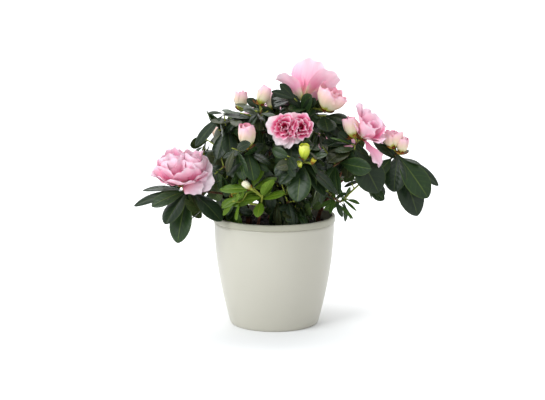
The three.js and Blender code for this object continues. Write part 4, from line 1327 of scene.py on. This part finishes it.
def soil_material():
    g = Graph("soil_peat", 0.92, 0.25)
    crumbs, factor = mottled(g, (300, 5), (60, 2), 0.7)
    tones = shades((0.36, 14, 12, 12), (0.52, 34, 28, 26), (0.68, 70, 58, 48))
    return g.finish(g.ramp(factor, tones), crumbs, 0.8, 0.001)


def pot_material(name, tone, grey, roughness):
    """Satin moulded plastic with a faint mottle."""
    g = Graph(name, roughness, 0.45)
    mottle = g.object_noise(24.0, 2)
    skin = g.object_noise(1400.0, 2)
    gloss = g.node("MapRange", {0: mottle, 3: roughness - 0.04, 4: roughness + 0.05})
    colour = g.mix(mottle, linear(*grey), linear(*tone))
    return g.finish(colour, skin, 0.06, 0.0002, gloss)


# ---- Plant ----

TINT_SEED, BLOOM_SEED, BARK_SEED, SOIL_SEED = 900, 77, 41, 5

# What a mass or a shoot deals its leaves' tints from, when it isn't the crown's common mix.
LEAF_TINTS = {
    "young_shoot": ["young"],
    "low_right": ["fresh", "mid"],
    "low_right_tip": ["fresh", "mid", "dark"],
    "left_low": ["fresh", "mid", "dark"],
}
NARROW = {"low_right": 0.66}
TWIG_SIDES, BARK_SIDES, STALK_RADIUS = 8, 14, 1.0
CROWN_TINTS = ["dark", "dark", "mid", "dark", "olive", "mid"]


def dress_foliage():
    """Leaves in two pieces, front and back, and all their twigs in a third."""
    materials = leaf_materials()
    leaves = {"front": Gather(LEAF_SLOTS), "back": Gather(LEAF_SLOTS)}
    nodes = {"front": [], "back": []}
    twigs = Gather(["woody", "green"])
    for mass in ALL_MASSES.values():
        shoots, grown = grow(mass)
        half = "back" if mass.name.startswith("back") else "front"
        nodes[half].append("foliage_" + mass.name)
        draw = seeded(mass.seed + TINT_SEED)
        for made in grown:
            tints = LEAF_TINTS.get(made.shoot.name) or LEAF_TINTS.get(mass.name) or CROWN_TINTS
            made.width *= NARROW.get(mass.name, 1)
            leaf(leaves[half], made, made.tint or tints[int(draw() * len(tints))])
        for shoot in shoots:
            green = mass.name == "young_shoot" or shoot.name in ("finer", "low_right", "low_right_tip")
            grow_twig(twigs, shoot, "green" if green else "woody")
    for half, gather in leaves.items():
        piece = gather.piece("leaves_" + half, materials)
        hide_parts(*nodes[half])
    stalks(twigs)
    bark = {
        "woody": bark_material("twig_woody", (110, 78, 44), (62, 40, 26), 0.7),
        "green": bark_material("twig_green", (150, 158, 60), (104, 116, 44), 0.6),
    }
    twigs.piece("twigs", bark)


def grow_twig(gather, shoot, slot):
    points = [shoot.path[0]]
    for to in shoot.path[1:]:
        points += [lerp(points[-1], to, share) for share in (0.25, 0.5, 0.75, 1)]
    points = np.array(points)
    points[1:-1] = (points[:-2] + 2 * points[1:-1] + points[2:]) / 4
    radii = np.linspace(shoot.thick, shoot.thick * 0.8, len(points))
    tube(gather, points, radii, TWIG_SIDES, slot)


def stalks(gather):
    """Each bloom's stalk, from its shoot into its foot, swelling to a green cup."""
    for bloom in ALL_BLOOMS:
        lead = LEADS[bloom.shoot]
        way = unit(lead.tip - ALL_MASSES[lead.mass].hub)
        start = lead.tip - way * 2
        end = bloom.foot + bloom.way * 0.06 * bloom.size
        share = np.linspace(0, 1, 7)
        places = quadratic(start, (start + bloom.foot) / 2, end, share)
        cup = min(2.6, 0.12 * bloom.size)
        tube(gather, places, STALK_RADIUS + cup * share**6, TWIG_SIDES, "green")


def dress_blooms():
    draw = seeded(BLOOM_SEED)
    materials = petal_materials(PETAL_LOOKS)
    front, back, small = Gather(PETAL_SLOTS), Gather(PETAL_SLOTS), Gather(SMALL_SLOTS)
    for bloom in ALL_BLOOMS:
        petals = back if "back" in bloom.shoot else front
        if bloom.kind == "bud":
            bud(petals if bloom.tint + "_in" in PETAL_SLOTS else small, bloom, draw)
        else:
            bloom_petals(petals, bloom, draw)
        bracts(small, bloom, draw)
    front.piece("petals_front", materials)
    back.piece("petals_back", materials)
    small.piece("buds_and_bracts", petal_materials(SMALL_LOOKS))


def dress_limbs():
    """Bark in relief over the stems and boughs: low ridges, rings and the scars of old leaves."""
    gather = Gather(["bark"])
    draw = seeded(BARK_SEED)
    for name, limb in [*ALL_STEMS.items(), *BOUGHS.items()]:
        phases = [draw() * TURN for _ in range(4)]
        span = np.linalg.norm(limb.places(1) - limb.places(0))
        rings = int(span / 1.6) + 6

        def relief(share, angle, span=span, phases=phases):
            along = share * span
            ridges = 0.05 * np.sin(3 * angle + 0.16 * along + phases[0])
            ridges = ridges + 0.04 * np.sin(5 * angle - 0.3 * along + phases[1])
            scars = 0.12 * np.maximum(np.sin(0.42 * along + phases[2]) * np.cos(angle - 0.35 * along), 0) ** 4
            return ridges + scars + 0.04 * np.sin(1.7 * along + phases[3])

        shares = np.linspace(0, 1, rings)
        radii = [limb.radius_at(share) for share in shares]
        tube(gather, limb.places(shares), radii, BARK_SIDES, "bark", relief)
    look = bark_material("bark", (112, 66, 44), (52, 32, 24), 0.8)
    piece = gather.piece("bark", {"bark": look})
    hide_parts(*STEMS, *("bough_" + name for name in MASSES))


# ---- Pot and soil ----

POT_SIDES = 128
WALL_SHOWN = 8  # how far the wall's inside goes on below the soil's top
SOIL_RINGS, SOIL_SIDES, SOIL_WAVES, SOIL_SKIRT = 46, 110, 14, 12
CRUMBS, CRUMB_LOW = 520, 1.5


def lathe(gather, profile, slot):
    """A profile of radius and height, swept round the pot's axis."""
    angles = round_angles(POT_SIDES)
    profile = np.asarray(profile, dtype=float)
    r, z = profile[:, :1], profile[:, 1:]
    points = np.stack([r * np.cos(angles), r * np.sin(angles), z + 0 * angles], axis=-1)
    gather.grid(points, slot, closed=True)


def dress_pot():
    """The pot's smooth wall, its soft foot, and the rounded band that stands proud of the wall."""
    gather = Gather(["body", "band"])
    body_top = POT_HEIGHT - BAND_HEIGHT
    foot = [(-8, 0.6), (-5, 0), (-1.4, 0), (-0.5, 0.3), (0, 1.2)]
    foot = [(0.05, 0.6)] + [(BASE_RADIUS + out, z) for out, z in foot]
    side = [(pot_radius_at(z), z) for z in np.linspace(2.4, body_top - 0.6, 40)]
    lathe(gather, foot + side + [(BODY_RADIUS - 0.5, body_top - 0.2)], "body")
    band = [(BODY_RADIUS - 0.6, body_top - 0.1)]
    for out, up in ((-0.7, 0), (-0.15, 0.3), (0, 0.9), (0, 3)):
        band.append((BAND_RADIUS + out, body_top + up))
    for out, down in ((0, 1.2), (-0.3, 0.4), (-0.9, 0)):
        band.append((BAND_RADIUS + out, POT_HEIGHT - down))
    band += [(BODY_RADIUS - WALL + 0.7, POT_HEIGHT), (BODY_RADIUS - WALL + 0.1, POT_HEIGHT - 0.3)]
    inner = [(pot_radius_at(z) - WALL, z) for z in np.linspace(POT_HEIGHT - 1, SOIL_TOP - WALL_SHOWN, 12)]
    lathe(gather, band + inner, "band")
    materials = {
        "body": pot_material("pot_satin", (189, 186, 174), (184, 181, 168), 0.32),
        # The band's grey, darker than the body's, is painted shade; the pot's inside wall, swept with the
        # band, shares it.
        "band": pot_material("pot_band_painted_shade", (168, 166, 150), (160, 158, 141), 0.4),
    }
    piece = gather.piece("pot_shell", materials)
    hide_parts("pot")


def dress_soil():
    """Peat with a lumpy top, and loose crumbs on it."""
    gather = Gather(["peat"])
    draw = seeded(SOIL_SEED)
    edge = pot_radius_at(SOIL_TOP) - WALL - 1
    waves = [(draw() * 0.5 + 0.08, draw() * TURN, draw() * TURN) for _ in range(SOIL_WAVES)]
    radii = edge * np.linspace(0.002, 1, SOIL_RINGS) ** 0.9
    angles = round_angles(SOIL_SIDES)
    x, y = radii[:, None] * np.cos(angles), radii[:, None] * np.sin(angles)
    lumps = sum(np.sin(f * (x * math.cos(a) + y * math.sin(a)) + p) for f, a, p in waves) * 0.22
    fall = SOIL_DROP * np.clip((radii - edge + SOIL_EDGE) / SOIL_EDGE, 0, 1)[:, None]
    top = SOIL_TOP + np.clip(lumps, -1.2, 1.2) - fall
    surface = np.stack([x, y, top], axis=-1)
    gather.grid(surface, "peat", closed=True)
    skirt = np.stack([surface[-1], surface[-1] - SOIL_SKIRT * UP])
    gather.grid(skirt, "peat", closed=True, flip=True)
    for _ in range(CRUMBS):
        out, turn = (edge - 2) * math.sqrt(draw()), draw() * TURN
        z = SOIL_TOP - (CRUMB_LOW if out > edge - SOIL_EDGE else 0)
        place = vec((out * math.cos(turn), out * math.sin(turn), z))
        crumb(gather, place, 0.5 + 1.5 * draw() ** 2, draw)
    piece = gather.piece("soil_bed", {"peat": soil_material()})
    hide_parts("soil")


def crumb(gather, place, size, draw):
    """A flattened lump with a drawn swell at each of its points."""
    rise = np.linspace(-1.5, 1.5, 5)
    angles = round_angles(6)
    swell = np.array([[0.7 + 0.5 * draw() for _ in angles] for _ in rise])
    flat = 0.6 + 0.4 * draw()
    x = np.cos(rise)[:, None] * np.cos(angles) * swell
    y = np.cos(rise)[:, None] * np.sin(angles) * swell
    z = np.sin(rise)[:, None] * flat * swell
    gather.grid(place + size * np.stack([x, y, z], axis=-1), "peat", closed=True)


# ---- Stage ----

FLOOR_HALF = 2600
# The floor's profile: how far back, and how high.
FLOOR_PROFILE = [(-FLOOR_HALF, 0), (900, 0), (1500, 60), (1900, 300), (2100, 800), (2150, 2600)]
WORLD_COLOUR, WORLD_STRENGTH = (0.94, 0.97, 1.0, 1), 0.7
# Name, place, size in metres, watts, what it faces, and colour.
LIGHTS = (
    ("key", (-1.2, -1.1, 1.2), 1.2, 25, (0, 0, 0.15), (0.96, 0.99, 1)),
    ("fill", (1.5, -1.3, 0.6), 1.2, 1.5, (0, 0, 0.15), (1, 0.92, 0.8)),
    ("backdrop", (0.0, 1.0, 2.0), 2.0, 45, (0, 1.6, 0.2), (1, 1, 1)),
)
# Where the photo was taken from, as its perspective tells: place in metres, tilt down, lens and sensor.
CAMERA_PLACE, CAMERA_TILT, CAMERA_LENS, CAMERA_SENSOR = (-0.00183, -1.55, 0.405), 9.975, 97.76, 36


def make_stage():
    """A pale floor that sweeps up behind, soft lights, and the camera."""
    floor = Gather(["floor"])
    points = [[(x, y, z) for x in (-FLOOR_HALF, FLOOR_HALF)] for y, z in FLOOR_PROFILE]
    points = np.array(points, dtype=float)
    floor.grid(points[:, ::-1], "floor", flip=True)
    g = Graph("floor_pale", 0.9, 0.1)
    g.shader.inputs["Base Color"].default_value = (0.9, 0.9, 0.9, 1)
    mesh = floor.joined("floor", {"floor": g.material})

    world = bpy.data.worlds.new("studio")
    bpy.context.scene.world = world
    world.use_nodes = True
    background = world.node_tree.nodes["Background"].inputs
    background["Color"].default_value = WORLD_COLOUR
    background["Strength"].default_value = WORLD_STRENGTH

    for name, place, size, watts, target, colour in LIGHTS:
        lamp = bpy.data.lights.new(name, "AREA")
        lamp.size, lamp.energy, lamp.color = size, watts, colour
        light = bpy.data.objects.new(name, lamp)
        light.location = place
        away = unit(vec(place) - vec(target))
        light.rotation_euler = (math.acos(away[2]), 0, math.atan2(away[0], -away[1]))
        bpy.context.scene.collection.objects.link(light)

    camera = bpy.data.objects.new("camera", bpy.data.cameras.new("camera"))
    camera.location = CAMERA_PLACE
    camera.rotation_euler = (math.radians(90 - CAMERA_TILT), 0, 0)
    camera.data.lens, camera.data.sensor_width = CAMERA_LENS, CAMERA_SENSOR
    bpy.context.scene.collection.objects.link(camera)
    bpy.context.scene.camera = camera
    bpy.context.scene.view_settings.view_transform = "Standard"


dress_pot()
dress_soil()
dress_limbs()
dress_foliage()
dress_blooms()
make_stage()
